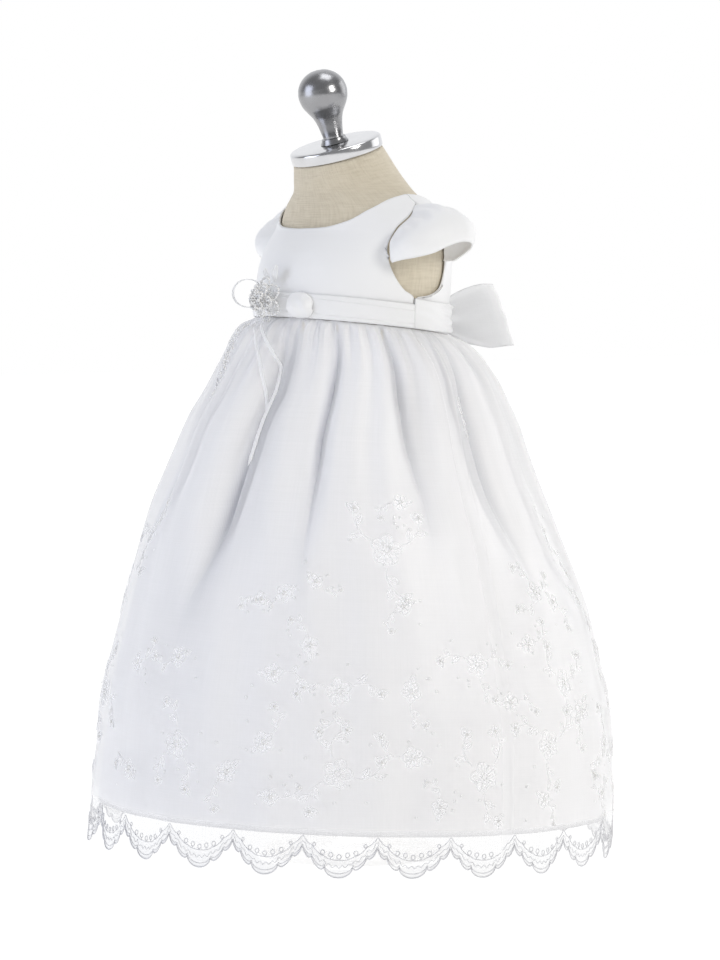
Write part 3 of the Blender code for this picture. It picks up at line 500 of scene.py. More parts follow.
def glowingPaintFinish():
    finish = Finish("whiteEnamelGlowing")
    peel = finish.noise(finish.place(), 320.0, 2.0)
    wear = finish.noise(finish.place(), 22.0, 3.0)
    finish.set(colour=finish.mix(wear, (0.80, 0.80, 0.79, 1), (0.90, 0.90, 0.89, 1)))
    finish.set(roughness=0.28 + wear * 0.12, normal=finish.bump(peel, 0.10, 0.0004))
    # painted light: the enamel glows though it is no lamp, so the stand stays white in the skirt's shadow
    finish.set(glowColour=(1, 1, 1, 1), glow=0.45)
    return finish.material


finishes = {
    "bodiceSatin": satinFinish("bodiceSatin", (0.945, 0.945, 0.945), (0.92, 0.92, 0.925), 0.46, 0.25),
    "skirtSatin": satinFinish("skirtSatin", (0.93, 0.92, 0.91), (0.88, 0.88, 0.90), 0.36, 0.30),
    "sashSatin": satinFinish("sashSatin", (0.94, 0.94, 0.94), (0.915, 0.915, 0.92), 0.32, 0.25),
    "organza": organzaFinish("organza", 0.50, (0.945, 0.94, 0.94), 0.42, "dense"),
    "borderOrganza": organzaFinish("borderOrganza", 0.26, (0.985, 0.985, 0.99), 0.45, "dense"),
    "bowOrganza": organzaFinish("bowOrganza", 0.80, (0.985, 0.985, 0.985), 0.42),
    "tailOrganza": organzaFinish("tailOrganza", 0.45, (0.95, 0.95, 0.955), 0.42),
    "thread": threadFinish("embroideryThread", (0.985, 0.985, 0.985)),
    "borderThread": threadFinish("borderThread", (0.76, 0.76, 0.785)),
    "stitch": stitchFinish(),
    "linen": linenFinish(),
    "polished": metalFinish("polishedMetal", (0.42, 0.42, 0.43), 0.18),
    "capMetal": metalFinish("capMetal", (0.80, 0.80, 0.81), 0.07),
    "pearl": beadFinish("pearl", (0.94, 0.93, 0.91), 0.22, 0.5),
    "crystal": beadFinish("crystal", (0.88, 0.89, 0.91), 0.06, 1.0),
    "sequin": beadFinish("sequin", (0.98, 0.98, 0.98), 0.14, 0.9),
    "glowingEnamel": glowingPaintFinish(),
}
print("finishes made")


# mesh helpers

def showMesh(name, mesh, finish):
    item = bpy.data.objects.new(name, mesh)
    bpy.context.scene.collection.objects.link(item)
    if finish:
        mesh.materials.clear()
        mesh.materials.append(finishes[finish])
    mesh.shade_smooth()
    return item


def clothPiece(name, grid, finish, outwardFrom, thick=0.0, closed=False, attributes=None):
    # grid is the cloth's outer side; its UV map holds real lengths in metres
    rows, columns = grid.shape[:2]
    spans = columns if closed else columns - 1
    centre = grid[:-1, :spans]
    right = np.roll(grid, -1, axis=1)[:-1, :spans]
    below = grid[1:, :spans]
    facing = centre - np.asarray(outwardFrom, float)
    outward = float((np.cross(right - centre, below - centre) * facing).sum())
    steps = np.linalg.norm(np.diff(grid, axis=1, append=grid[:, :1]), axis=2).mean(axis=0)
    drops = np.linalg.norm(np.diff(grid, axis=0), axis=2).mean(axis=1)
    u = np.concatenate([[0], np.cumsum(steps)])[: columns + 1] * cm
    v = np.concatenate([[0], np.cumsum(drops)]) * cm
    faces, corners = [], []
    for i in range(rows - 1):
        for j in range(spans):
            k = (j + 1) % columns
            quad = (i * columns + j, i * columns + k, (i + 1) * columns + k, (i + 1) * columns + j)
            flat = ((u[j], v[i]), (u[j + 1], v[i]), (u[j + 1], v[i + 1]), (u[j], v[i + 1]))
            faces.append(quad if outward > 0 else quad[::-1])
            corners.extend(flat if outward > 0 else flat[::-1])
    mesh = bpy.data.meshes.new(name)
    mesh.from_pydata((grid.reshape(-1, 3) * cm).tolist(), [], faces)
    mesh.uv_layers.new(name="UVMap").data.foreach_set("uv", np.array(corners, np.float32).ravel())
    for key, values in (attributes or {}).items():
        data = mesh.attributes.new(key, "FLOAT", "POINT").data
        data.foreach_set("value", values.astype(np.float32).ravel())
    item = showMesh(name, mesh, finish)
    if thick:
        wall = item.modifiers.new("Wall", "SOLIDIFY")
        wall.thickness = thick * cm
        wall.offset = -1.0
        wall.use_even_offset = False
    return item


def turnedPiece(name, profile, foot, lean, finish, steps):  # a lathe profile of (up, radius)
    points, faces = [], []
    tilt = math.radians(lean)
    for up, radius in profile:
        for k in range(steps):
            turn = 2 * math.pi * k / steps
            x, y, z = radius * math.sin(turn), -radius * math.cos(turn), up
            y, z = y * math.cos(tilt) - z * math.sin(tilt), y * math.sin(tilt) + z * math.cos(tilt)
            points.append((x, y, z))
    for i in range(len(profile) - 1):
        for k in range(steps):
            n = (k + 1) % steps
            faces.append((i * steps + k, i * steps + n, (i + 1) * steps + n, (i + 1) * steps + k))
    mesh = bpy.data.meshes.new(name)
    mesh.from_pydata(((np.array(points) + np.array(foot)) * cm).tolist(), [], faces)
    mergeDoubles(mesh, True)
    item = showMesh(name, mesh, finish)
    mesh.set_sharp_from_angle(angle=math.radians(38))
    return item


def linesMesh(lines):  # a mesh of open or closed lines, for the node trees to follow
    points, edges = [], []
    for line in lines:
        first = len(points)
        points.extend((np.asarray(line) * cm).tolist())
        edges.extend((first + k, first + k + 1) for k in range(len(line) - 1))
    mesh = bpy.data.meshes.new("lines")
    mesh.from_pydata(points, edges, [])
    return mesh


def newTree(name, inputs):
    tree = bpy.data.node_groups.new(name, "GeometryNodeTree")
    tree.interface.new_socket("Geometry", in_out="INPUT", socket_type="NodeSocketGeometry")
    for label in inputs:
        tree.interface.new_socket(label, in_out="INPUT", socket_type="NodeSocketFloat")
    tree.interface.new_socket("Finish", in_out="INPUT", socket_type="NodeSocketMaterial")
    tree.interface.new_socket("Geometry", in_out="OUTPUT", socket_type="NodeSocketGeometry")
    return tree, tree.nodes.new("NodeGroupInput").outputs


def put(tree, kind, inputs, **settings):  # a node with its settings and inputs; gives its outputs
    node = tree.nodes.new(kind)
    for key, value in settings.items():
        setattr(node, key, value)
    for key, value in inputs.items():
        if isinstance(value, bpy.types.NodeSocket):
            tree.links.new(value, node.inputs[key])
        else:
            node.inputs[key].default_value = value
    return node.outputs


def endTree(tree, start, shape):
    real = put(tree, "GeometryNodeRealizeInstances", {0: shape})
    soft = put(tree, "GeometryNodeSetShadeSmooth", {0: real[0]})
    paint = put(tree, "GeometryNodeSetMaterial", {"Geometry": soft[0], "Material": start["Finish"]})
    put(tree, "NodeGroupOutput", {0: paint[0]})
    return tree


def threadTree():  # a four-sided thread along every line of the mesh
    tree, start = newTree("threadAlongLines", ("Thread Radius", "Spacing"))
    curve = put(tree, "GeometryNodeMeshToCurve", {0: start["Geometry"]})
    settings = {"Curve": curve[0], "Length": start["Spacing"]}
    even = put(tree, "GeometryNodeResampleCurve", settings, mode="LENGTH")
    ring = put(tree, "GeometryNodeCurvePrimitiveCircle", {"Resolution": 4, "Radius": start["Thread Radius"]})
    settings = {"Curve": even[0], "Profile Curve": ring[0], "Fill Caps": True}
    return endTree(tree, start, put(tree, "GeometryNodeCurveToMesh", settings)[0])


def beadTree():  # a bead or sequin on every point, flattened along the point's own facing
    tree, start = newTree("beadsOnPoints", ("Bead Radius", "Flatness", "Size Spread"))
    settings = {"Segments": 6, "Rings": 4, "Radius": start["Bead Radius"]}
    bead = put(tree, "GeometryNodeMeshUVSphere", settings)
    facing = put(tree, "GeometryNodeInputNamedAttribute", {"Name": "facing"}, data_type="FLOAT_VECTOR")
    aim = put(tree, "FunctionNodeAlignEulerToVector", {"Vector": facing["Attribute"]}, axis="Z")
    low = put(tree, "ShaderNodeMath", {0: 1.0, 1: start["Size Spread"]}, operation="SUBTRACT")
    high = put(tree, "ShaderNodeMath", {0: 1.0, 1: start["Size Spread"]}, operation="ADD")
    settings = {2: low[0], 3: high[0], "Seed": 4}
    spread = put(tree, "FunctionNodeRandomValue", settings, data_type="FLOAT")[1]
    squash = put(tree, "ShaderNodeMath", {0: spread, 1: start["Flatness"]}, operation="MULTIPLY")
    size = put(tree, "ShaderNodeCombineXYZ", {"X": spread, "Y": spread, "Z": squash[0]})
    settings = {"Points": start["Geometry"], "Instance": bead["Mesh"], "Rotation": aim[0], "Scale": size[0]}
    return endTree(tree, start, put(tree, "GeometryNodeInstanceOnPoints", settings)[0])


trees = {"thread": threadTree(), "bead": beadTree()}


def grow(name, mesh, tree, values):  # runs a node tree on a mesh and keeps the plain result
    seed = bpy.data.objects.new(name + "Seed", mesh)
    bpy.context.scene.collection.objects.link(seed)
    modifier = seed.modifiers.new("Nodes", "NODES")
    modifier.node_group = trees[tree]
    for socket in trees[tree].interface.items_tree:
        if socket.item_type == "SOCKET" and socket.in_out == "INPUT" and socket.name in values:
            modifier[socket.identifier] = values[socket.name]
    bpy.context.view_layer.update()
    ready = seed.evaluated_get(bpy.context.evaluated_depsgraph_get())
    plain = bpy.data.meshes.new_from_object(ready)
    seed.modifiers.remove(modifier)
    bpy.data.objects.remove(seed)
    plain.name = name
    return showMesh(name, plain, None)


def wear(piece, slot, *replaced):
    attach(piece, "root")
    if replaced:
        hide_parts(*replaced)
    return piece


def threads(name, lines, radius, spacing, finish, slot, *replaced):
    values = {"Thread Radius": radius * cm, "Spacing": spacing * cm, "Finish": finishes[finish]}
    return wear(grow(name, linesMesh(lines), "thread", values), slot, *replaced)


def beads(name, points, facing, radius, flatness, spread, finish, *replaced):
    mesh = bpy.data.meshes.new("points")
    mesh.from_pydata((np.asarray(points) * cm).tolist(), [], [])
    data = mesh.attributes.new("facing", "FLOAT_VECTOR", "POINT").data
    facing = np.broadcast_to(np.asarray(facing, np.float32), (len(points), 3))
    data.foreach_set("vector", facing.ravel())
    values = {"Bead Radius": radius * cm, "Flatness": flatness, "Size Spread": spread}
    return wear(grow(name, mesh, "bead", {**values, "Finish": finishes[finish]}), "beads", *replaced)


def gridSize(grid):  # widest row and longest column, in metres
    wide = np.linalg.norm(np.diff(grid, axis=1), axis=2).sum(axis=1).max()
    tall = np.linalg.norm(np.diff(grid, axis=0), axis=2).sum(axis=0).max()
    return round(float(wide) * cm, 4), round(float(tall) * cm, 4)


def cutSheet(grid):
    wide, tall = gridSize(grid)
    if min(wide, tall) < 0.01:  # a ribbon or petal narrower than a centimetre; the size is not used further
        return


def sewn(name, grid, finish, hub, thick, slot, node):  # a cloth piece cut as a sheet
    piece = clothPiece(name, grid, finish, hub, thick)
    wear(piece, slot, node)
    cutSheet(grid)


def mergeDoubles(mesh, outward=False):
    work = bmesh.new()
    work.from_mesh(mesh)
    bmesh.ops.remove_doubles(work, verts=work.verts, dist=0.000002)
    if outward:
        bmesh.ops.recalc_face_normals(work, faces=work.faces)
    work.to_mesh(mesh)
    work.free()


# dress form

metalShape = {
    "cap": (  # up, radius
        (0.0, 0.0), (0.0, 3.50), (0.03, 3.57), (0.08, 3.60), (0.40, 3.61), (0.76, 3.60),
        (0.84, 3.57), (0.90, 3.50), (0.94, 3.40), (0.96, 3.20), (0.97, 1.5), (0.97, 0.0),
    ),
    "finial": (  # up, radius
        (0.99, 1.10), (1.12, 1.02), (1.26, 0.95), (1.38, 0.93), (1.44, 0.80), (1.50, 0.80),
        (1.90, 0.86), (2.50, 0.97), (3.10, 1.16), (3.55, 1.42), (3.95, 1.66), (4.40, 1.84),
        (4.95, 1.91), (5.50, 1.81), (6.05, 1.49), (6.45, 1.05), (6.68, 0.55), (6.76, 0.0),
    ),
    "neckUps": (0.99, 1.12, 1.26, 1.37, 1.385, 1.43, 1.45),
}


def dressForm():
    heights = np.concatenate([np.linspace(24.0, 50, 60), np.linspace(50.2, 54.78, 26)])
    angle = np.linspace(0, 360, 144, endpoint=False)
    grid = formSurface(angle[None], heights[:, None])
    low = np.broadcast_to(grid[0].mean(axis=0), grid[0].shape)
    high = np.broadcast_to(grid[-1].mean(axis=0), grid[-1].shape)
    foot, head = 0.5 * (low + grid[0]), 0.5 * (high + grid[-1])
    grid = np.concatenate([low[None], foot[None], grid, head[None], high[None]])
    torso = clothPiece("linenTorso", grid, "linen", (0, 0, 42), closed=True)
    mergeDoubles(torso.data)
    wear(torso, "linen", "form_torso")

    lean = math.radians(formShape["neckLean"])
    up = np.array([0, -math.sin(lean), math.cos(lean)])
    top = np.array(formShape["neckTop"])
    cap = turnedPiece("neckCap", metalShape["cap"], top + 0.03 * up, formShape["neckLean"], "capMetal", 128)
    wear(cap, "polished_metal", "form_neck_cap")
    start = metalShape["finial"][0][0]
    ups = np.concatenate([metalShape["neckUps"], np.linspace(1.5, 6.76, 60)])
    radii = smooth(metalShape["finial"], ups, 1)
    dome = ups > 5.5
    radii[dome] = np.sqrt(np.maximum(0, 1 - ((ups[dome] - 4.95) / 1.81) ** 2)) * 1.91
    radii[-1] = 0.0
    profile = [(start, 0.0)] + list(zip(ups.tolist(), radii.tolist()))
    ball = turnedPiece("finial", profile, top + 0.05 * up, formShape["neckLean"], "polished", 96)
    wear(ball, "polished_metal", "form_finial")
    # the pole and base take the glowing enamel, painted light that keeps them white under the skirt
    for node in ("stand_pole", "stand_base"):
        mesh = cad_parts[node].data
        mesh.materials.clear()
        mesh.materials.append(finishes["glowingEnamel"])


dressForm()
print("dress form done")


# bodice, sleeves and sash

bodiceCut = {
    "outer": 0.29,
    "thick": 0.15,
    "seamHalf": 0.4,
    "backSeam": 0.2,
    "sideRise": 1.1,  # straight part of the side seam under the armhole
    "degree": 0.13,  # centimetres to a degree round the chest
    "neckFront": ((0, 49.0), (20, 49.12), (36.5, 49.6), (52.5, 50.45), (72, 51.2), (90, 51.55)),
    "neckBack": ((180, 50.45), (158, 50.6), (136, 50.95), (112, 51.4), (90, 51.55)),
    "shoulderTip": 50.90,
    "armholeFront": (  # y, height
        (0.10, 43.80), (-0.75, 44.45), (-1.45, 45.40), (-1.90, 46.65),
        (-1.80, 47.90), (-1.05, 49.10), (0.10, 50.05),
    ),
    "armholeBack": (
        (0.10, 43.80), (1.40, 43.95), (2.70, 44.40), (3.40, 45.30),
        (3.70, 46.60), (3.70, 47.90), (3.25, 49.20), (2.30, 50.25),
    ),
    "middle": (0.9, 47.3),
    "inside": (0.0, 0.3, 47.0),
    "pipeRadius": 0.075,
}


def angleOf(y, height):
    front, back, widest = (smooth(formShape["rows"], height, k) for k in (2, 3, 4))
    ahead = np.where(y < widest, widest - front, back - widest)
    return np.degrees(np.arccos(np.clip((widest - y) / ahead, -1, 1)))


def edgeLine(points, count):
    fine = smoothPath([(a * bodiceCut["degree"], z) for a, z in points], count)
    return np.stack([fine[:, 0] / bodiceCut["degree"], fine[:, 1]], axis=1)


def bodiceHalf(neckline, armhole, centre, columns, rows):
    shift = -bodiceCut["seamHalf"] if centre == 0 else bodiceCut["seamHalf"]
    seam = 90.0 + shift
    hole = [(float(angleOf(y, z)) + shift, z) for y, z in armhole]
    low = waistHeight(seam) + gatherSettings["clearance"]
    tip = [(seam, bodiceCut["shoulderTip"])]
    side = edgeLine([(seam, low), (seam, low + bodiceCut["sideRise"])] + hole + tip, rows)
    top = edgeLine([(a if a != 90 else seam, z) for a, z in neckline] + tip, columns)
    bottomAngle = np.linspace(centre, seam, columns)
    bottom = np.stack([bottomAngle, waistHeight(bottomAngle) + gatherSettings["clearance"]], axis=1)
    rise = np.linspace(bottom[0, 1], top[0, 1], rows)
    middle = np.stack([np.full(rows, float(centre)), rise], axis=1)
    s = np.linspace(0, 1, columns)[None, :, None]
    t = np.linspace(0, 1, rows)[:, None, None]
    patch = (1 - t) * bottom[None] + t * top[None] + (1 - s) * middle[:, None] + s * side[:, None]
    corners = (1 - s) * (1 - t) * bottom[0] + s * (1 - t) * bottom[-1]
    corners = corners + (1 - s) * t * top[0] + s * t * top[-1]
    return patch - corners


def bodiceRelief(angle, height):  # slight drag lines towards the armholes
    drag = 0.020 * np.sin(0.22 * angle + 1.9 * height) + 0.014 * np.sin(0.13 * angle - 1.1 * height + 2.0)
    return drag * np.clip((height - 43.5) / 2.0, 0, 1)


def bodice():
    half = bodiceHalf(bodiceCut["neckFront"], bodiceCut["armholeFront"], 0, 60, 66)
    other = half[:, :0:-1].copy()
    other[..., 0] *= -1
    front = np.concatenate([other, half], axis=1)
    back = bodiceHalf(bodiceCut["neckBack"], bodiceCut["armholeBack"], 180, 54, 66)
    back[:, 0, 0] -= bodiceCut["backSeam"]
    rolls = []
    for name, domain, node, side in (
        ("bodiceFront", front, "bodice_front", 1),
        ("bodiceBackLeft", back, "bodice_back_left", 1),
        ("bodiceBackRight", back, "bodice_back_right", -1),
    ):
        angle, height = domain[..., 0], domain[..., 1]
        mirror = np.array([side, 1, 1])
        grid = mirror * offForm(angle, height, bodiceCut["outer"] + bodiceRelief(angle, height))
        hub, thick = bodiceCut["inside"], bodiceCut["thick"]
        sewn(name, grid, "bodiceSatin", hub, thick, "satin", node)
        rim = mirror * offForm(angle, height, bodiceCut["outer"] - 0.5 * thick)
        rolls.extend((rim[-1], rim[12:, -1]))
        if name == "bodiceFront":
            rolls.append(rim[12:, 0])
    threads("edgePiping", rolls, bodiceCut["pipeRadius"], 0.14, "bodiceSatin", "satin")


sleeveCut = {
    "inset": 0.11,
    "seamOut": 0.27,
    "puff": 1.62,
    "lift": (0.5, 1.1, 0.8),  # outwards, front to back, upwards
    "gathers": 14,
    "gatherDepth": 0.10,
    "tuckDepth": 0.035,
    "hemFold": 0.02,
    "thick": 0.13,
    "inside": (6.5, 0.6, 47.0),
    "hem": (
        (8.00, -2.10, 46.55), (9.20, -2.10, 46.75), (10.30, -1.60, 46.95), (11.00, -0.40, 47.30),
        (11.30, 1.00, 47.90), (11.30, 2.30, 48.15), (10.90, 3.30, 48.00), (9.95, 3.90, 47.50),
        (8.90, 4.00, 47.05), (7.95, 3.90, 46.60),
    ),
}


def sleeves():
    edge = list(bodiceCut["armholeFront"][3:]) + [(1.10, bodiceCut["shoulderTip"])]
    edge = np.array(edge + list(reversed(bodiceCut["armholeBack"][4:])))
    edge = edge + sleeveCut["inset"] * unit(np.array(bodiceCut["middle"]) - edge)
    head = offForm(angleOf(edge[:, 0], edge[:, 1]), edge[:, 1], sleeveCut["seamOut"])
    head, hem = smoothPath(head, 121), smoothPath(sleeveCut["hem"], 121)
    a = np.linspace(0, 1, 121)[None, :, None]
    b = np.linspace(0, 1, 44)[:, None, None]
    out, across, up = sleeveCut["lift"]
    lift = np.concatenate([0 * a + out, across * (2 * a - 1), 0 * a + up], axis=-1)
    arch = np.sin(math.pi * a) ** 0.7
    grid = (1 - b) * head[None] + b * hem[None]
    full = b**1.35
    grid = grid + sleeveCut["puff"] * arch * (4 * full * (1 - full)) ** 0.8 * lift
    wave = np.cos(sleeveCut["gathers"] * math.pi * (a - 0.5) / 0.6 + 0.8 * np.sin(9 * a))
    fade = np.exp(-(((a - 0.5) / 0.3) ** 4)) * np.sin(math.pi * np.clip(b * 1.6, 0, 1))
    tucks = np.cos(90 * a + 2 * np.sin(20 * a)) * np.exp(-((b / 0.22) ** 2)) * np.clip(b * 14, 0, 1)
    slack = 0.035 * np.sin(9 * a + 7 * b) * np.sin(math.pi * b)
    relief = sleeveCut["gatherDepth"] * wave * fade + sleeveCut["tuckDepth"] * tucks + slack
    grid = grid + (relief + sleeveCut["hemFold"] * np.clip((b - 0.86) * 60, 0, 1)) * lift
    for name, node, side in (("sleeveLeft", "sleeve_left", 1), ("sleeveRight", "sleeve_right", -1)):
        mirror = np.array([side, 1, 1])
        hub, thick = mirror * sleeveCut["inside"], sleeveCut["thick"]
        sewn(name, mirror * grid, "bodiceSatin", hub, thick, "satin", node)


sashCut = {
    "outer": 0.45,
    "thick": 0.12,
    "width": 1.85,
    "foot": 0.05,
    "swell": 0.10,
    "folds": (0.24, 0.80),
    "foldDepth": 0.055,
    "end": 89.96,
    "hub": (0, 0, 43),
    "tieWidth": 2.25,
    "tieLift": 0.10,
    "tieRise": 0.45,
    "tieTaper": 0.35,
    "tieStart": 90.04,
    "tieEnd": 179.6,
}


def sashPiece(name, shape, node):
    sewn(name, shape, "sashSatin", sashCut["hub"], sashCut["thick"], "satin", node)


def sash():
    angle = np.linspace(-sashCut["end"], sashCut["end"], 121)[None]
    share = np.linspace(0, 1, 40)[:, None]
    height = waistHeight(angle) + sashCut["foot"] + sashCut["width"] * share
    tuck = sashCut["swell"] * (1 - np.exp(-share * 14)) * (1 - np.exp(-(1 - share) * 14))
    for place in sashCut["folds"]:
        wander = place + 0.05 * np.sin(0.04 * angle + 9 * place)
        tuck = tuck - sashCut["foldDepth"] * np.exp(-(((share - wander) / 0.022) ** 2))
        tuck = tuck - 0.030 * np.clip(1 - np.abs(share - wander - 0.07) / 0.10, 0, 1)
    tuck = tuck + 0.018 * np.sin(0.16 * angle + 5 * share) * np.sin(math.pi * share)
    angle, height = np.broadcast_arrays(angle, height)
    sashPiece("sashFront", offForm(angle, height, sashCut["outer"] + tuck), "sash_front")
    angle = np.linspace(sashCut["tieStart"], sashCut["tieEnd"], 101)[None]
    share = np.linspace(0, 1, 34)[:, None]
    along = (angle - sashCut["tieStart"]) / (sashCut["tieEnd"] - sashCut["tieStart"])
    low = waistHeight(angle) + sashCut["foot"] + sashCut["tieRise"] * along**3
    height = low + sashCut["tieWidth"] * (1 - sashCut["tieTaper"] * along**3) * share
    crumple = sashCut["tieLift"] + 0.07 * np.cos(9 * along + 7 * share) * np.sin(math.pi * along) ** 0.5
    wave = np.sin(20 * share + 9 * along + 2 * np.sin(5 * along))
    crumple = crumple + 0.055 * wave * np.clip(along * 3, 0.2, 1) - 0.05 * np.exp(-((along / 0.02) ** 2))
    angle, height = np.broadcast_arrays(angle, height)
    grid = offForm(angle, height, sashCut["outer"] + crumple)
    sashPiece("sashTieLeft", grid, "sash_tie_left")
    sashPiece("sashTieRight", grid * np.array([-1, 1, 1]), "sash_tie_right")


bodice()
sleeves()
sash()
print("bodice, sleeves and sash done")


# skirt layers and border

borderCut = {
    "scallops": 23,
    "firstTip": 4.3,
    "lobes": (  # share along the scallop, depth share; bulge of the lobe that follows
        (0.0, 0.0, 0.20),
        (0.13, 0.30, 0.22),
        (0.31, 0.64, 0.36),
        (0.69, 0.64, 0.22),
        (0.87, 0.30, 0.20),
        (1.0, 0.0, 0.0),
    ),
    "bandWidth": 0.80,
    "columns": 1201,
    "tuck": 0.02,
    "allowance": 0.35,  # how dense the side seams' turned-in edges look
    "edgeRadius": 0.045,
    "innerRadius": 0.032,
    "zigzagRadius": 0.022,
    "picotRadius": 0.036,
    "picots": (-0.34, -0.22, -0.11, 0.0, 0.11, 0.22, 0.34),
}


def scallopDrop(angle, shrink=0.0):  # lower edge of the border, or a line that far inside it
    share = ((angle - borderCut["firstTip"]) * borderCut["scallops"] / 360 + 0.5) % 1
    starts = np.array([row[0] for row in borderCut["lobes"]])
    depths = np.array([row[1] for row in borderCut["lobes"]])
    bulges = np.array([row[2] for row in borderCut["lobes"]])
    k = np.clip(np.searchsorted(starts, share, side="right") - 1, 0, len(starts) - 2)
    t = (share - starts[k]) / (starts[k + 1] - starts[k])
    bulge = bulges[k] * (1 - 0.6 * min(1.0, shrink / 0.7))
    depth = depths[k] * (1 - t) + depths[k + 1] * t + bulge * np.sqrt(np.clip(4 * t * (1 - t), 0, 1))
    span = skirtShape["length"] - skirtShape["notchDrop"]
    return skirtShape["notchDrop"] + span * depth - shrink


def seamStrip(angle, drop):  # 1 over the side seams' turned-in allowance, below the sash
    radius = smooth(skirtShape["sections"], drop, 1)
    seam = skirtShape["seamAngle"]
    total = np.zeros(np.broadcast(angle, drop).shape)
    for side in (seam, -seam):
        away = np.radians((angle - side + 180) % 360 - 180) * radius
        total = total + np.clip((0.55 - np.abs(away - 0.45)) / 0.06, 0, 1)
        total = total + 0.8 * np.exp(-((away / 0.05) ** 2))
    return np.clip(total, 0, 1) * np.clip((drop - 1.0) / 12, 0, 1)


def skirtLayers():
    half = skirtShape["seamAngle"]
    drops = np.concatenate([np.linspace(0, 6, 34), np.linspace(6.25, skirtShape["borderDrop"], 60)])
    for name, node, low, high in (
        ("overlayFront", "overlay_front", -half, half),
        ("overlayBack", "overlay_back", half, 360 - half),
    ):
        angle = np.linspace(low + 0.01, high - 0.01, 481)
        grid = hang(angle[None], drops[:, None], 1)
        seam = seamStrip(angle[None], drops[:, None])
        # each overlay panel carries the painted shade for its folds and gathers as an attribute, beside the
        # seam density
        shades = {"valley": paintedShadeAt(angle[None], drops[:, None]), "dense": borderCut["allowance"] * seam}
        piece = clothPiece(name, grid, "organza", (0, 0, 20), attributes=shades)
        piece.visible_shadow = False
        wear(piece, "organza", node + "_left", node + "_right")
    drops = np.concatenate([np.linspace(0, 7, 26), np.linspace(7.3, skirtShape["satinHemDrop"], 44)])
    for name, node, low, high in (
        ("underskirtFront", "underskirt_front", -90, 90),
        ("underskirtBack", "underskirt_back", 90, 270),
    ):
        angle = np.linspace(low, high, 301)
        grid = hang(angle[None], drops[:, None], 2)
        # each underskirt panel carries the same painted shade for its folds and gathers
        valley = {"valley": paintedShadeAt(angle[None], drops[:, None])}
        piece = clothPiece(name, grid, "skirtSatin", (0, 0, 20), 0.10, attributes=valley)
        wear(piece, "satin", node + "_left", node + "_right")


def border():
    half = skirtShape["seamAngle"]
    for name, node, low, high in (
        ("borderFront", "lace_edge_front", -half, half),
        ("borderBack", "lace_edge_back", half, 360 - half),
    ):
        angle = np.linspace(low + 0.01, high - 0.01, borderCut["columns"])
        edge = scallopDrop(angle)
        share = np.linspace(0, 1, 12)[:, None] ** 0.8
        top = skirtShape["borderDrop"] + borderCut["tuck"]
        drop = top + (edge[None] - top) * share
        dense = np.clip((drop - innerLine(angle)[None]) / 0.08, 0, 1) * 0.34
        dense = np.maximum(dense, np.clip((0.20 - (edge[None] - drop)) / 0.06, 0, 1))
        dense = np.maximum(dense, borderCut["allowance"] * seamStrip(angle[None], drop))
        grid = hang(angle[None], drop, 1)
        piece = clothPiece(name, grid, "borderOrganza", (0, 0, 20), attributes={"dense": dense})
        piece.visible_shadow = False
        wear(piece, "lace", node)
        soft = np.linspace(low + 0.3, high - 0.3, 700)
        fine = np.linspace(low + 0.3, high - 0.3, 2200)
        stitch = 0.46 + 0.13 * np.abs((fine * 1.5) % 2 - 1) * 2 - 0.13
        inner = [onSkirt(angle, scallopDrop(angle, 0.19), 0.02), onSkirt(soft, innerLine(soft), 0.03)]
        zigzag = onSkirt(fine, scallopDrop(fine, 0.5) + 0.5 - stitch, 0.025)
        for part, lines, radius, spacing in (
            ("Cord", [onSkirt(angle, edge - 0.03, 0.03)], borderCut["edgeRadius"], 0.11),
            ("Inner", inner, borderCut["innerRadius"], 0.13),
            ("Zigzag", [zigzag], borderCut["zigzagRadius"], 0.11),
            ("Picots", picotLines(low + 1.0, high - 1.0), borderCut["picotRadius"], 0.09),
        ):
            threads(name + part, lines, radius, spacing, "borderThread", "lace")


def innerLine(angle):  # smooth inner edge of the embroidered band
    return scallopDrop(angle, borderCut["bandWidth"])


def picotLines(low, high):
    lines = []
    turn = np.linspace(0, 2 * math.pi, 11)
    pitch = 360 / borderCut["scallops"]
    k = math.ceil((low - borderCut["firstTip"]) / pitch)
    for number in range(k - 1, k + borderCut["scallops"] + 2):
        for place in borderCut["picots"]:
            angle = borderCut["firstTip"] + (number + place) * pitch
            if not low < angle < high:
                continue
            middle = float(innerLine(np.array(angle)))
            size = 0.15 if abs(place) > 0.3 else 0.20
            rise = 0.34 if round(place * 100) % 2 else 0.26
            a = angle + np.degrees(size * 0.8 * np.sin(turn) / 20.2)
            d = middle - rise + size * np.cos(turn) * 0.9
            lines.append(onSkirt(a, d, 0.03))
            stalk = np.linspace(0, 1, 4)
            lines.append(onSkirt(angle + 0 * stalk, middle - (rise - size) * stalk, 0.03))
    return lines


skirtLayers()
border()
print("skirt layers and border done")


# embroidery on the overlay

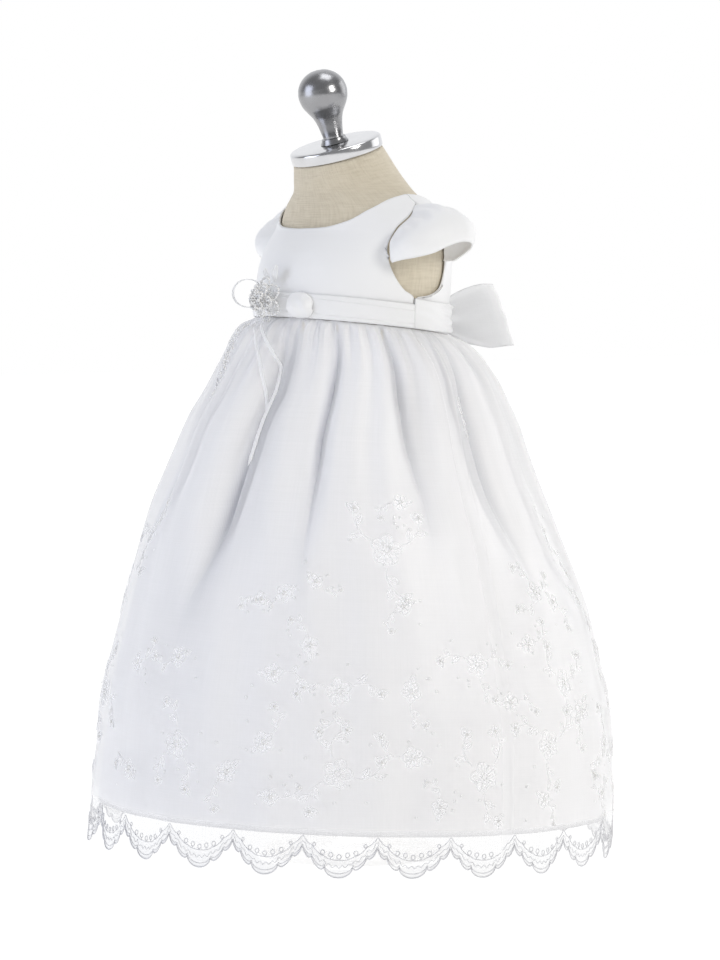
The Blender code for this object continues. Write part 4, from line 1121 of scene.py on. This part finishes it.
embroidery = {
    "seed": 23,
    "threadRadius": 0.026,
    "spacing": 0.17,
    "fillLift": 0.030,
    "threadLift": 0.045,
    "beadLift": 0.08,
    "lowest": 39.0,
    "pearlRadius": 0.055,
    "sequinRadius": 0.10,
    "sprays": (  # angle, drop, size of a flower with three vines
        (62, 16.5, 1.05),
        (104, 19.6, 0.70),
        (50, 26.9, 0.90),
        (82, 24.8, 0.80),
        (109, 26.4, 0.95),
        (100, 30.9, 1.00),
        (-24, 28.9, 1.00),
        (12, 31.6, 0.95),
        (50, 32.9, 1.00),
        (82, 33.0, 1.00),
        (-20, 16.5, 0.85),
        (130, 15.8, 0.85),
    ),
    "sprigs": (  # angle, drop, size of a flower with one vine
        (98, 5.8, 0.60),
        (67, 13.0, 0.65),
        (36, 20.0, 0.75),
        (44, 19.0, 0.60),
        (30, 20.5, 0.60),
        (65, 20.6, 0.70),
        (112, 20.4, 0.75),
        (130, 20.4, 0.70),
        (9, 25.2, 0.85),
        (35, 25.8, 0.85),
        (43, 23.6, 0.75),
        (66, 26.8, 0.85),
        (98, 23.4, 0.80),
        (115, 28.6, 0.90),
        (90, 27.6, 0.80),
        (138, 24.4, 0.85),
        (25, 33.3, 0.90),
        (34, 30.8, 0.90),
        (66, 31.6, 0.95),
        (-6, 26.0, 0.80),
        (-4, 34.0, 0.85),
        (36, 34.8, 0.70),
        (72, 35.2, 0.70),
        (98, 35.0, 0.70),
    ),
    "rows": (  # out of the photo's sight: drop, first angle, angle between, how many, size, jitter
        (16.5, 178.0, 52.0, 3, 0.85, 1.0),
        (22.0, 158.0, 33.0, 6, 0.85, 1.4),
        (27.2, 148.0, 27.0, 7, 0.90, 1.2),
        (31.8, 126.0, 21.0, 10, 0.95, 1.0),
        (35.2, 118.0, 19.0, 12, 0.65, 0.4),
    ),
}


def place2d(angle, drop, x, y):  # a flat motif's own x (round) and y (down) on the skirt
    radius = smooth(skirtShape["sections"], np.full(1, drop), 1)[0]
    return angle + np.degrees(np.asarray(x) / radius), drop + np.asarray(y)


def petalShape(length, wide, turn):
    t = np.linspace(0, 1, 15)
    half = wide * np.sin(math.pi * t**0.75) ** 0.8
    reach = length * (0.16 + 0.84 * t)
    notch = 1 - 0.10 * np.exp(-(((t - 1) / 0.1) ** 2))
    x = np.concatenate([-half, half[::-1]])
    y = np.concatenate([reach * notch, (reach * notch)[::-1]])
    return x * math.cos(turn) - y * math.sin(turn), x * math.sin(turn) + y * math.cos(turn)


class Stitching:
    def __init__(self):
        self.lines, self.fills, self.pearls, self.sequins = [], [], [], []

    def outline(self, angle, drop, x, y):
        a, d = place2d(angle, drop, x, y)
        self.lines.append((a, np.minimum(d, embroidery["lowest"])))

    def fill(self, angle, drop, x, y):
        a, d = place2d(angle, drop, x, y)
        self.fills.append((a, np.minimum(d, embroidery["lowest"])))

    def flower(self, angle, drop, cx, cy, size, turn):
        for k in range(5):
            x, y = petalShape(size, 0.36 * size, turn + 2 * math.pi * k / 5)
            self.outline(angle, drop, x + cx, y + cy)
            self.fill(angle, drop, 0.93 * x + cx, 0.93 * y + cy)
            if size > 0.8:
                vein = turn + 2 * math.pi * k / 5
                r = np.linspace(0.2, 0.72, 4) * size
                self.outline(angle, drop, cx - r * math.sin(vein), cy + r * math.cos(vein))
        for k in range(5):
            spot = turn + 2 * math.pi * (k + 0.5) / 5
            px, py = cx + 0.17 * size * math.cos(spot), cy + 0.17 * size * math.sin(spot)
            self.pearls.append(place2d(angle, drop, px, py))

    def leaf(self, angle, drop, cx, cy, size, turn):
        t = np.linspace(0, 1, 9)
        half = 0.24 * size * np.sin(math.pi * t) ** 0.9
        x = np.concatenate([-half, half[::-1]])
        y = np.concatenate([size * t, size * t[::-1]])
        px, py = x * math.cos(turn) - y * math.sin(turn), x * math.sin(turn) + y * math.cos(turn)
        self.outline(angle, drop, px + cx, py + cy)
        self.fill(angle, drop, 0.9 * px + cx, 0.9 * py + cy)
        self.outline(angle, drop, cx - size * t * math.sin(turn), cy + size * t * math.cos(turn))

    def vine(self, angle, drop, cx, cy, length, turn, bend, leaves, size):
        t = np.linspace(0, 1, 14)
        heading = turn + bend * t
        step = length / 13
        x = cx + np.concatenate([[0], np.cumsum(-np.sin(heading[:-1]) * step)])
        y = cy + np.concatenate([[0], np.cumsum(np.cos(heading[:-1]) * step)])
        self.outline(angle, drop, x, y)
        for k in range(leaves):
            i = 3 + int(9 * k / max(1, leaves - 1)) if leaves > 1 else 7
            side = 0.9 if k % 2 else -0.9
            self.leaf(angle, drop, x[i], y[i], size * (1 - 0.25 * k / leaves), heading[i] + side)
        self.flower(angle, drop, x[-1], y[-1], 0.5 * size, heading[-1])

    def spray(self, angle, drop, size, turn, rng):
        self.flower(angle, drop, 0.0, 0.0, 1.25 * size, turn)
        for k in range(3):
            out = turn + 2.1 * k + rng.uniform(-0.3, 0.3)
            sx, sy = -1.3 * size * math.sin(out), 1.3 * size * math.cos(out)
            bend = rng.choice((-1.6, 1.6)) * rng.uniform(0.7, 1.1)
            self.vine(angle, drop, sx, sy, 2.6 * size, out, bend, 3, 0.95 * size)
        self.scatter(angle, drop, size, 7, rng)

    def sprig(self, angle, drop, size, turn, rng):
        self.flower(angle, drop, 0.0, 0.0, size, turn)
        bend = rng.choice((-1.6, 1.6)) * rng.uniform(0.7, 1.1)
        sx, sy = -1.1 * size * math.sin(turn), 1.1 * size * math.cos(turn)
        self.vine(angle, drop, sx, sy, 2.4 * size, turn, bend, 3, 0.85 * size)
        self.leaf(angle, drop, -0.6 * sx, -0.6 * sy, 0.9 * size, turn + 3.4)
        self.scatter(angle, drop, size, 4, rng)

    def scatter(self, angle, drop, size, count, rng):
        for _ in range(count):
            x, y = rng.uniform(-2.6, 2.6) * size, rng.uniform(-2.4, 2.4) * size
            self.sequins.append(place2d(angle, drop, x, y))


def fillMesh(name, fills, lift, finish):
    points, faces, corners = [], [], []
    for a, d in fills:
        first = len(points)
        points.append(onSkirt(a.mean(), d.mean(), lift + 0.025))
        points.extend(onSkirt(a, d, lift))
        flatMiddle = (float(a.mean()) * 0.35 * cm, float(d.mean()) * cm)
        for k in range(len(a)):
            n = (k + 1) % len(a)
            faces.append((first, first + 1 + n, first + 1 + k))
            corners.extend((flatMiddle, (a[n] * 0.35 * cm, d[n] * cm), (a[k] * 0.35 * cm, d[k] * cm)))
    mesh = bpy.data.meshes.new(name)
    mesh.from_pydata((np.array(points) * cm).tolist(), [], faces)
    mesh.uv_layers.new(name="UVMap").data.foreach_set("uv", np.array(corners, np.float32).ravel())
    return showMesh(name, mesh, finish)


def embroider():
    rng = random.Random(embroidery["seed"])
    sides = {"Front": Stitching(), "Back": Stitching()}
    sprays, sprigs = list(embroidery["sprays"]), list(embroidery["sprigs"])
    for drop, first, pitch, count, size, jitter in embroidery["rows"]:
        for k in range(count):
            angle = first + (k + rng.uniform(-0.18, 0.18)) * pitch
            angle = angle if angle < 360 - skirtShape["seamAngle"] else angle - 360
            place = drop + rng.uniform(-1, 1) * jitter
            (sprigs if k % 2 else sprays).append((angle, place, size * rng.uniform(0.85, 1.1)))
    for motif, places in ((Stitching.spray, sprays), (Stitching.sprig, sprigs)):
        for angle, drop, size in places:
            work = sides["Front" if angle < skirtShape["seamAngle"] else "Back"]
            motif(work, angle, drop, size, rng.uniform(0, 6.2), rng)
    for side, work in sides.items():
        lines = [onSkirt(a, d, embroidery["threadLift"]) for a, d in work.lines]
        radius, spacing = embroidery["threadRadius"], embroidery["spacing"]
        stitches = threads("embroidery" + side, lines, radius, spacing, "thread", "organza")
        stitches.visible_shadow = False
        fills = fillMesh("stitchedFill" + side, work.fills, embroidery["fillLift"], "stitch")
        fills.visible_shadow = False
        wear(fills, "organza")
        for kind, spots, radius, flatness, finish in (
            ("pearls", work.pearls, embroidery["pearlRadius"], 0.8, "pearl"),
            ("sequins", work.sequins, embroidery["sequinRadius"], 0.14, "sequin"),
        ):
            a = np.array([float(spot[0]) for spot in spots])
            d = np.clip(np.array([float(spot[1]) for spot in spots]), 8, 38.2)
            facing = onSkirt(a, d, 1.0) - onSkirt(a, d, 0.0)
            beads(kind + side, onSkirt(a, d, embroidery["beadLift"]), facing, radius, flatness, 0.25, finish)
        print(side, "embroidery:", len(work.lines), "lines,", len(work.fills), "fills")


embroider()


# bow

bowCut = {
    "hub": (4.0, 9.2, 42.2),
    "knotGap": 0.09,
    "hemRadius": 0.05,
    "tailHemRadius": 0.045,
    "tailOut": 0.36,
    "shortTail": 0.93,
    "foldBridge": 0.65,  # share of a fold's depth that a tail lies over
    "knotHeight": 42.0,
    "knotHalf": (0.95, 0.62, 1.10),
    "reachLow": 8.0,
    "reachHigh": 5.4,
    "loop": (  # share of the reach, y, low height, high height
        (0.10, 7.70, 41.20, 42.80),
        (0.28, 8.15, 40.60, 43.55),
        (0.52, 8.45, 40.05, 44.25),
        (0.78, 8.75, 39.90, 44.60),
        (0.95, 9.15, 40.00, 44.75),
        (1.00, 9.60, 40.05, 44.75),
        (0.96, 10.00, 40.05, 44.70),
        (0.78, 10.15, 40.00, 44.50),
        (0.52, 9.80, 40.20, 44.10),
        (0.28, 9.05, 40.75, 43.40),
        (0.10, 8.15, 41.25, 42.75),
    ),
    "tail": (  # drop, angle of its middle off the centre back, half width
        (1.3, 5.2, 0.75),
        (3.0, 8.4, 1.35),
        (5.5, 11.0, 2.00),
        (9.0, 12.2, 2.45),
        (13.5, 12.4, 2.60),
        (18.5, 12.6, 2.70),
        (24.0, 13.0, 2.75),
        (27.5, 13.4, 2.75),
    ),
}


def bowKnot():
    back = float(offForm(180.0, bowCut["knotHeight"], sashCut["outer"] + sashCut["tieLift"])[1])
    halfX, halfY, halfZ = bowCut["knotHalf"]
    middle = np.array([0.0, back + 0.92 * halfY + 0.03, bowCut["knotHeight"]])
    turn = np.linspace(0, 2 * math.pi, 60, endpoint=False)[None]
    across = np.linspace(0, math.pi, 40)[:, None]
    size = np.sin(across) ** 0.45 * (1 - 0.08 * np.cos(2 * across) ** 2)
    size = size * (1 + 0.045 * np.cos(across * 9 + 0.4 * np.sin(turn)) * np.sin(across))
    x = np.sign(np.cos(across)) * np.abs(np.cos(across)) ** 0.55 * halfX + 0 * turn
    grid = middle + np.stack([x, size * halfY * np.cos(turn), size * halfZ * np.sin(turn)], axis=-1)
    knot = clothPiece("bowKnot", grid, "bowOrganza", middle, closed=True)
    wear(knot, "ribbon_organza", "bow_knot")


def bowLoops():
    rows = smoothPath(bowCut["loop"], 121)
    share = np.linspace(0, 1, 37)[None]
    reach = bowCut["reachLow"] * (1 - share) + bowCut["reachHigh"] * share
    x = np.maximum(rows[:, :1] * reach, bowCut["knotHalf"][0] + bowCut["knotGap"])
    z = rows[:, 2:3] * (1 - share) + rows[:, 3:4] * share
    pucker = 0.12 * np.cos(3 * math.pi * share) * np.exp(-((x - 1.0) / 3.0) ** 2)
    pucker = pucker + 0.05 * np.sin(24 * share + 0.5 * x) * np.exp(-((x - 1.0) / 2.2) ** 2)
    pucker = pucker + 0.09 * np.sin(7 * share + 0.7 * x) * np.clip(x / 3, 0, 1)
    pucker = pucker + 0.05 * np.sin(15 * share - 0.9 * x + 1.0) * np.clip(x / 4, 0, 1)
    grid = np.stack([x, rows[:, 1:2] + pucker, z + 0.03 * np.sin(1.7 * x)], axis=-1)
    for name, node, side in (("bowLoopLeft", "bow_loop_left", 1), ("bowLoopRight", "bow_loop_right", -1)):
        mirror = np.array([side, 1, 1])
        shape, hub = mirror * grid, mirror * bowCut["hub"]
        sewn(name, shape, "bowOrganza", hub, 0, "ribbon_organza", node)
        edges = [shape[:, 0], shape[:, -1]]
        threads(name + "Hem", edges, bowCut["hemRadius"], 0.2, "bowOrganza", "ribbon_organza")


def bowTails():
    tail = smoothPath(bowCut["tail"], 90)
    down, off, half = tail[:, :1], tail[:, 1:2], tail[:, 2:3]
    share = np.linspace(-1, 1, 31)[None]
    radius = smooth(skirtShape["sections"], down, 1)
    for name, node, side in (("bowTailLeft", "bow_tail_left", -1), ("bowTailRight", "bow_tail_right", 1)):
        angle = 180 + side * off + np.degrees(half * share / radius)
        drop = down + 0 * share
        if side > 0:
            drop = drop * bowCut["shortTail"] + bowCut["knotGap"]
        wave = 0.08 * np.cos(3 * share + 0.5 * down) + 0.05 * np.cos(9 * share + 0.2 * down)
        out = bowCut["tailOut"] + wave + bowCut["foldBridge"] * foldDepth(angle, drop)
        grid = hang(angle, drop, 1, out, gathered=0.0)
        sewn(name, grid, "tailOrganza", (0, 0, 20), 0, "ribbon_organza", node)
        edges = [grid[:, 0], grid[:, -1], grid[-1]]
        threads(name + "Hem", edges, bowCut["tailHemRadius"], 0.22, "bowOrganza", "ribbon_organza")


bowKnot()
bowLoops()
bowTails()
print("bow done")


# corsage

corsageCut = {
    "height": 43.70,
    "ahead": (0.0, -1.0, 0.0),
    "rings": ((6, 1.72, 0.45), (5, 1.30, 0.95), (5, 0.85, 1.40)),  # petals, their reach, their lift
    "pearlRadius": 0.105,
    "crystalRadius": 0.085,
    "wireRadius": 0.045,
    "eyeRadius": 0.24,
    "eyeLift": 1.75,
    "ribbon": 0.32,
    "degree": 0.2,  # centimetres to a degree round the top of the skirt
    "longTail": ((1.0, 0.5), (8.0, 1.4), (13.5, 3.0), (16.5, 5.5), (17.3, 8.3), (16.6, 11.0)),
    "shortTail": ((-4.0, 0.5), (3.0, 1.4), (8.5, 3.0), (12.0, 5.2), (13.6, 8.0)),
    "spray": ((-8.0, 0.5), (-11.0, 1.3), (-13.5, 2.4), (-15.5, 4.0), (-17.0, 6.2)),
    "tailLift": 0.26,
    "shortLift": 0.28,
    "sprayLift": 0.35,
    "petalSide": (0.85, 0.0, -0.25),
    "petalHalf": 0.44,
    "petalBend": 0.15,
    "petalCrown": 0.10,
    "loopFoot": (-1.10, -7.66, 44.15),
    "loopAcross": (-0.85, -0.53, 0.0),
    "loopRadius": 1.30,
    "loopRise": 1.10,
    "loopMouth": 0.62,
    "satinLoop": ((13.2, 0.5), (14.2, 0.75), (17.5, 1.0), (22.0, 1.0), (26.5, 0.85), (29.5, 0.6)),
    "satinMiddle": 21.35,
    "satinHalf": 8.25,
    "satinHeight": 0.995,
    "satinPuff": 0.78,
    "satinOut": 0.12,
    "seed": 8,
}


def ribbonGrid(line, count, half, lift, pointed):
    rows = smoothPath([(a * corsageCut["degree"], d) for a, d in line], count)
    rows[:, 0] /= corsageCut["degree"]
    middle = hang(rows[:, 0], rows[:, 1], 1, lift, gathered=0.0)
    ahead = unit(np.gradient(middle, axis=0))
    away = unit(middle * np.array([1.0, 1.0, 0.0]))
    side = unit(np.cross(ahead, away))
    width = np.full(count, half)
    if pointed:
        width[-6:] = np.linspace(half, 0.03, 6)
    across = np.linspace(-1, 1, 5)[None, :, None]
    crown = 0.03 * (1 - across**2)
    return middle[:, None] + width[:, None, None] * across * side[:, None] + crown * away[:, None]


def corsageFlower(rng):
    front = float(offForm(0.0, corsageCut["height"], sashCut["outer"] + 0.05)[1])
    front = front - 0.08
    middle = np.array([0.0, front, corsageCut["height"]])
    petals, pearls, crystals = [], [], []
    turn = np.linspace(0, 2 * math.pi, 25)
    for ring, (count, reach, lift) in enumerate(corsageCut["rings"]):
        for k in range(count):
            heading = 2 * math.pi * k / count + 0.5 * ring
            ahead = np.array([math.sin(heading), 0.0, math.cos(heading)])
            aside = np.array([math.cos(heading), 0.0, -math.sin(heading)])
            t = 0.5 - 0.5 * np.cos(turn)
            line = middle + np.outer(reach * (0.15 + 0.85 * t), ahead)
            line = line + np.outer(0.36 * reach * np.sin(turn), aside)
            line[:, 1] -= lift + 0.22 * np.sin(math.pi * t)
            petals.append(line)
            pearls.extend(line[0:24:2] + np.array([0, -0.04, 0]))
            for _ in range(7):
                s, w = rng.uniform(0.15, 0.9), rng.uniform(-0.25, 0.25) * reach
                spot = s * reach * ahead + w * aside
                spot[1] = -lift - 0.18 - 0.1 * rng.random()
                crystals.append(middle + spot)
    for k in range(9):
        spot = 2 * math.pi * k / 8
        radius = 0.0 if k == 8 else corsageCut["eyeRadius"]
        eye = (radius * math.sin(spot), -corsageCut["eyeLift"], radius * math.cos(spot))
        pearls.append(middle + np.array(eye))
    ahead, radius = corsageCut["ahead"], corsageCut["pearlRadius"]
    beads("corsagePearls", pearls, ahead, radius, 1.0, 0.2, "pearl", "corsage_flower")
    beads("corsageCrystals", crystals, ahead, corsageCut["crystalRadius"], 1.0, 0.3, "crystal")
    threads("corsageWires", petals, corsageCut["wireRadius"], 0.12, "thread", "beads")
    return front


def corsagePetals(front):
    for name, node, tipX, tipZ, footX, footZ in (
        ("corsagePetalLeft", "corsage_petal_left", 0.95, 46.35, 0.42, 45.15),
        ("corsagePetalRight", "corsage_petal_right", -0.55, 46.10, -0.35, 45.20),
    ):
        foot = np.array([footX, front - 0.06, footZ])
        tip = np.array([tipX, front - 0.20, tipZ])
        along = np.linspace(0, 1, 24)[:, None]
        half = corsageCut["petalHalf"] * np.sin(math.pi * (0.08 + 0.92 * along)) ** 0.75
        line = foot + (tip - foot) * along
        line[:, 1] -= corsageCut["petalBend"] * np.sin(math.pi * along[:, 0])
        across = np.linspace(-1, 1, 9)[None]
        grid = line[:, None] + (half * across)[:, :, None] * np.array(corsageCut["petalSide"])
        grid[..., 1] -= corsageCut["petalCrown"] * (1 - across**2)
        sewn(name, grid, "bowOrganza", (0, 3, 45), 0.04, "lace", node)
        threads(name + "Edge", [grid[:, 0], grid[:, -1], grid[:, 4]], 0.035, 0.1, "thread", "lace")


def corsageRibbonLoop():
    foot, across = np.array(corsageCut["loopFoot"]), np.array(corsageCut["loopAcross"])
    turn = np.linspace(corsageCut["loopMouth"], 2 * math.pi - corsageCut["loopMouth"], 90) + math.pi
    reach = corsageCut["loopRadius"] * (1 + np.cos(turn))[::-1]
    loop = foot + reach[:, None] * across
    loop[:, 2] += corsageCut["loopRise"] * np.sin(turn)
    share = np.linspace(-1, 1, 5)[None, :, None]
    grid = loop[:, None] + 0.5 * corsageCut["ribbon"] * share * np.cross(across, [0, 0, 1.0])
    hub, node = foot + corsageCut["loopRadius"] * across, "corsage_ribbon_loop"
    sewn("corsageRibbonLoop", grid, "sashSatin", hub, 0.05, "satin", node)


def corsageSatinLoop():
    places, fullness = zip(*corsageCut["satinLoop"])
    angle = np.linspace(places[0], places[-1], 60)[None]
    share = np.linspace(0, 1, 40)[:, None]
    ends = np.abs((angle - corsageCut["satinMiddle"]) / corsageCut["satinHalf"])
    rounded = (1 - ends**2.6) ** (1 / 2.6)
    height = waistHeight(angle) + corsageCut["satinHeight"] + 0.98 * (2 * share - 1) * rounded
    puff = corsageCut["satinPuff"] * np.sin(math.pi * share) ** 0.6
    puff = puff * np.interp(angle, places, fullness) * rounded**0.7
    puff = puff + 0.05 * np.sin(0.9 * angle + 6 * share) * np.sin(math.pi * share)
    angle, height = np.broadcast_arrays(angle, height)
    grid = offForm(angle, height, sashCut["outer"] + corsageCut["satinOut"] + puff)
    hub, node = sashCut["hub"], "corsage_satin_loop"
    sewn("corsageSatinLoop", grid, "sashSatin", hub, 0.10, "satin", node)


def corsageRibbons(rng):
    for name, node, line, lift in (
        ("corsageRibbonLong", "corsage_ribbon_long", corsageCut["longTail"], corsageCut["tailLift"]),
        ("corsageRibbonShort", "corsage_ribbon_short", corsageCut["shortTail"], corsageCut["shortLift"]),
    ):
        grid = ribbonGrid(line, 110, corsageCut["ribbon"] / 2, lift, True)
        sewn(name, grid, "sashSatin", (0, 0, 30), 0.04, "satin", node)
    stem = ribbonGrid(corsageCut["spray"], 60, 0.3, corsageCut["sprayLift"], False)[:, 2]
    threads("beadedStem", [stem], 0.035, 0.15, "thread", "beads", "corsage_spray")
    drops, sparks = [], []
    for k, point in enumerate(stem):
        size = 0.34 * math.sin(math.pi * min(1.0, 0.15 + 0.9 * k / 60)) + 0.05
        for _ in range(2):
            x, y, z = rng.uniform(-1, 1) * size, -0.05 - 0.25 * rng.random(), rng.uniform(-0.5, 0.5) * size
            (drops if rng.random() < 0.5 else sparks).append(point + np.array([x, y, z]))
    beads("beadedSprayPearls", drops, corsageCut["ahead"], 0.07, 1.0, 0.3, "pearl")
    beads("beadedSprayCrystals", sparks, corsageCut["ahead"], 0.075, 1.0, 0.3, "crystal")


def corsage():
    rng = random.Random(corsageCut["seed"])
    front = corsageFlower(rng)
    corsagePetals(front)
    corsageRibbonLoop()
    corsageSatinLoop()
    corsageRibbons(rng)


corsage()
print("corsage done")


# studio

studio = {
    "azimuth": 53.8,
    "distance": 3.25,
    "height": 0.51,
    "aimHeight": 0.295,
    "sideShift": 0.006,
    "seenHeight": 0.75,  # metres of the object's middle plane that fill the frame's height
    "lights": (  # name, place, size, watts, colour
        ("keySoftbox", (3.0, 0.5, 1.7), 0.9, 30.5, (1.0, 0.98, 0.945)),
        ("fillSoftbox", (-0.8, -2.6, 1.1), 1.8, 22.5, (0.80, 0.85, 1.0)),
        ("topSoftbox", (0.2, 0.2, 2.6), 1.2, 11.0, (0.97, 0.98, 1.0)),
        ("rearSoftbox", (0.4, 2.6, 1.3), 1.6, 8.0, (1.0, 1.0, 1.0)),
    ),
    "lightsAim": (0, 0, 0.28),
    "worldGlow": 0.30,
    "backdropGlow": 1.0,
    "floorGlow": 0.94,
    "floorHalf": 8,
}


def aimAt(item, target):
    item.rotation_euler = (Vector(target) - item.location).to_track_quat("-Z", "Y").to_euler()


def makeCamera(scene, turn):
    camera = bpy.data.objects.new("camera", bpy.data.cameras.new("camera"))
    scene.collection.objects.link(camera)
    distance = studio["distance"]
    camera.location = (distance * math.sin(turn), -distance * math.cos(turn), studio["height"])
    aim = (studio["sideShift"] * math.cos(turn), studio["sideShift"] * math.sin(turn), studio["aimHeight"])
    aimAt(camera, aim)
    gap = (Vector(aim) - camera.location).length
    camera.data.lens = camera.data.sensor_width * gap / studio["seenHeight"]
    scene.camera = camera


def makeLights(scene):
    for name, place, size, watts, colour in studio["lights"]:
        light = bpy.data.objects.new(name, bpy.data.lights.new(name, "AREA"))
        light.data.energy, light.data.size, light.data.color = watts, size, colour
        light.location = place
        scene.collection.objects.link(light)
        aimAt(light, studio["lightsAim"])


def makeWorld(scene, turn):  # white to the camera; to the object, bright behind and dim in front
    world = bpy.data.worlds.new("studioWorld")
    world.use_nodes = True
    scene.world = world
    tree = world.node_tree
    tree.nodes.clear()
    way = put(tree, "ShaderNodeTexCoord", {})["Generated"]
    settings = {0: way, 1: (-math.sin(turn), math.cos(turn), 0.15)}
    beyond = put(tree, "ShaderNodeVectorMath", settings, operation="DOT_PRODUCT")["Value"]
    settings = {"Value": beyond, "From Min": 0.25, "From Max": 0.85}
    settings.update({"To Min": studio["worldGlow"], "To Max": studio["backdropGlow"]})
    lobe = put(tree, "ShaderNodeMapRange", settings, interpolation_type="SMOOTHSTEP")["Result"]
    light = put(tree, "ShaderNodeBackground", {"Color": (0.97, 0.98, 1.0, 1), "Strength": lobe})[0]
    seen = put(tree, "ShaderNodeBackground", {"Color": (1, 1, 1, 1)})[0]
    straight = put(tree, "ShaderNodeLightPath", {})["Is Camera Ray"]
    mixed = put(tree, "ShaderNodeMixShader", {0: straight, 1: light, 2: seen})[0]
    put(tree, "ShaderNodeOutputWorld", {0: mixed})


def makeFloor(scene):
    finish = Finish("paperFloor")
    grain = finish.noise(finish.place(), 60.0, 2.0)
    finish.set(colour=finish.mix(grain, (0.10, 0.10, 0.10, 1), (0.12, 0.12, 0.12, 1)), roughness=0.95)
    finish.set(glowColour=(1, 1, 1, 1), glow=studio["floorGlow"])
    mesh, far = bpy.data.meshes.new("floor"), studio["floorHalf"]
    mesh.from_pydata([(-far, -far, 0), (far, -far, 0), (far, far, 0), (-far, far, 0)], [], [(0, 1, 2, 3)])
    mesh.materials.append(finish.material)
    floor = bpy.data.objects.new("floor", mesh)
    scene.collection.objects.link(floor)


def makeStudio():
    scene = bpy.context.scene
    turn = math.radians(studio["azimuth"])
    makeCamera(scene, turn)
    makeLights(scene)
    makeWorld(scene, turn)
    makeFloor(scene)
    scene.view_settings.view_transform = "Standard"


makeStudio()
print("studio done")
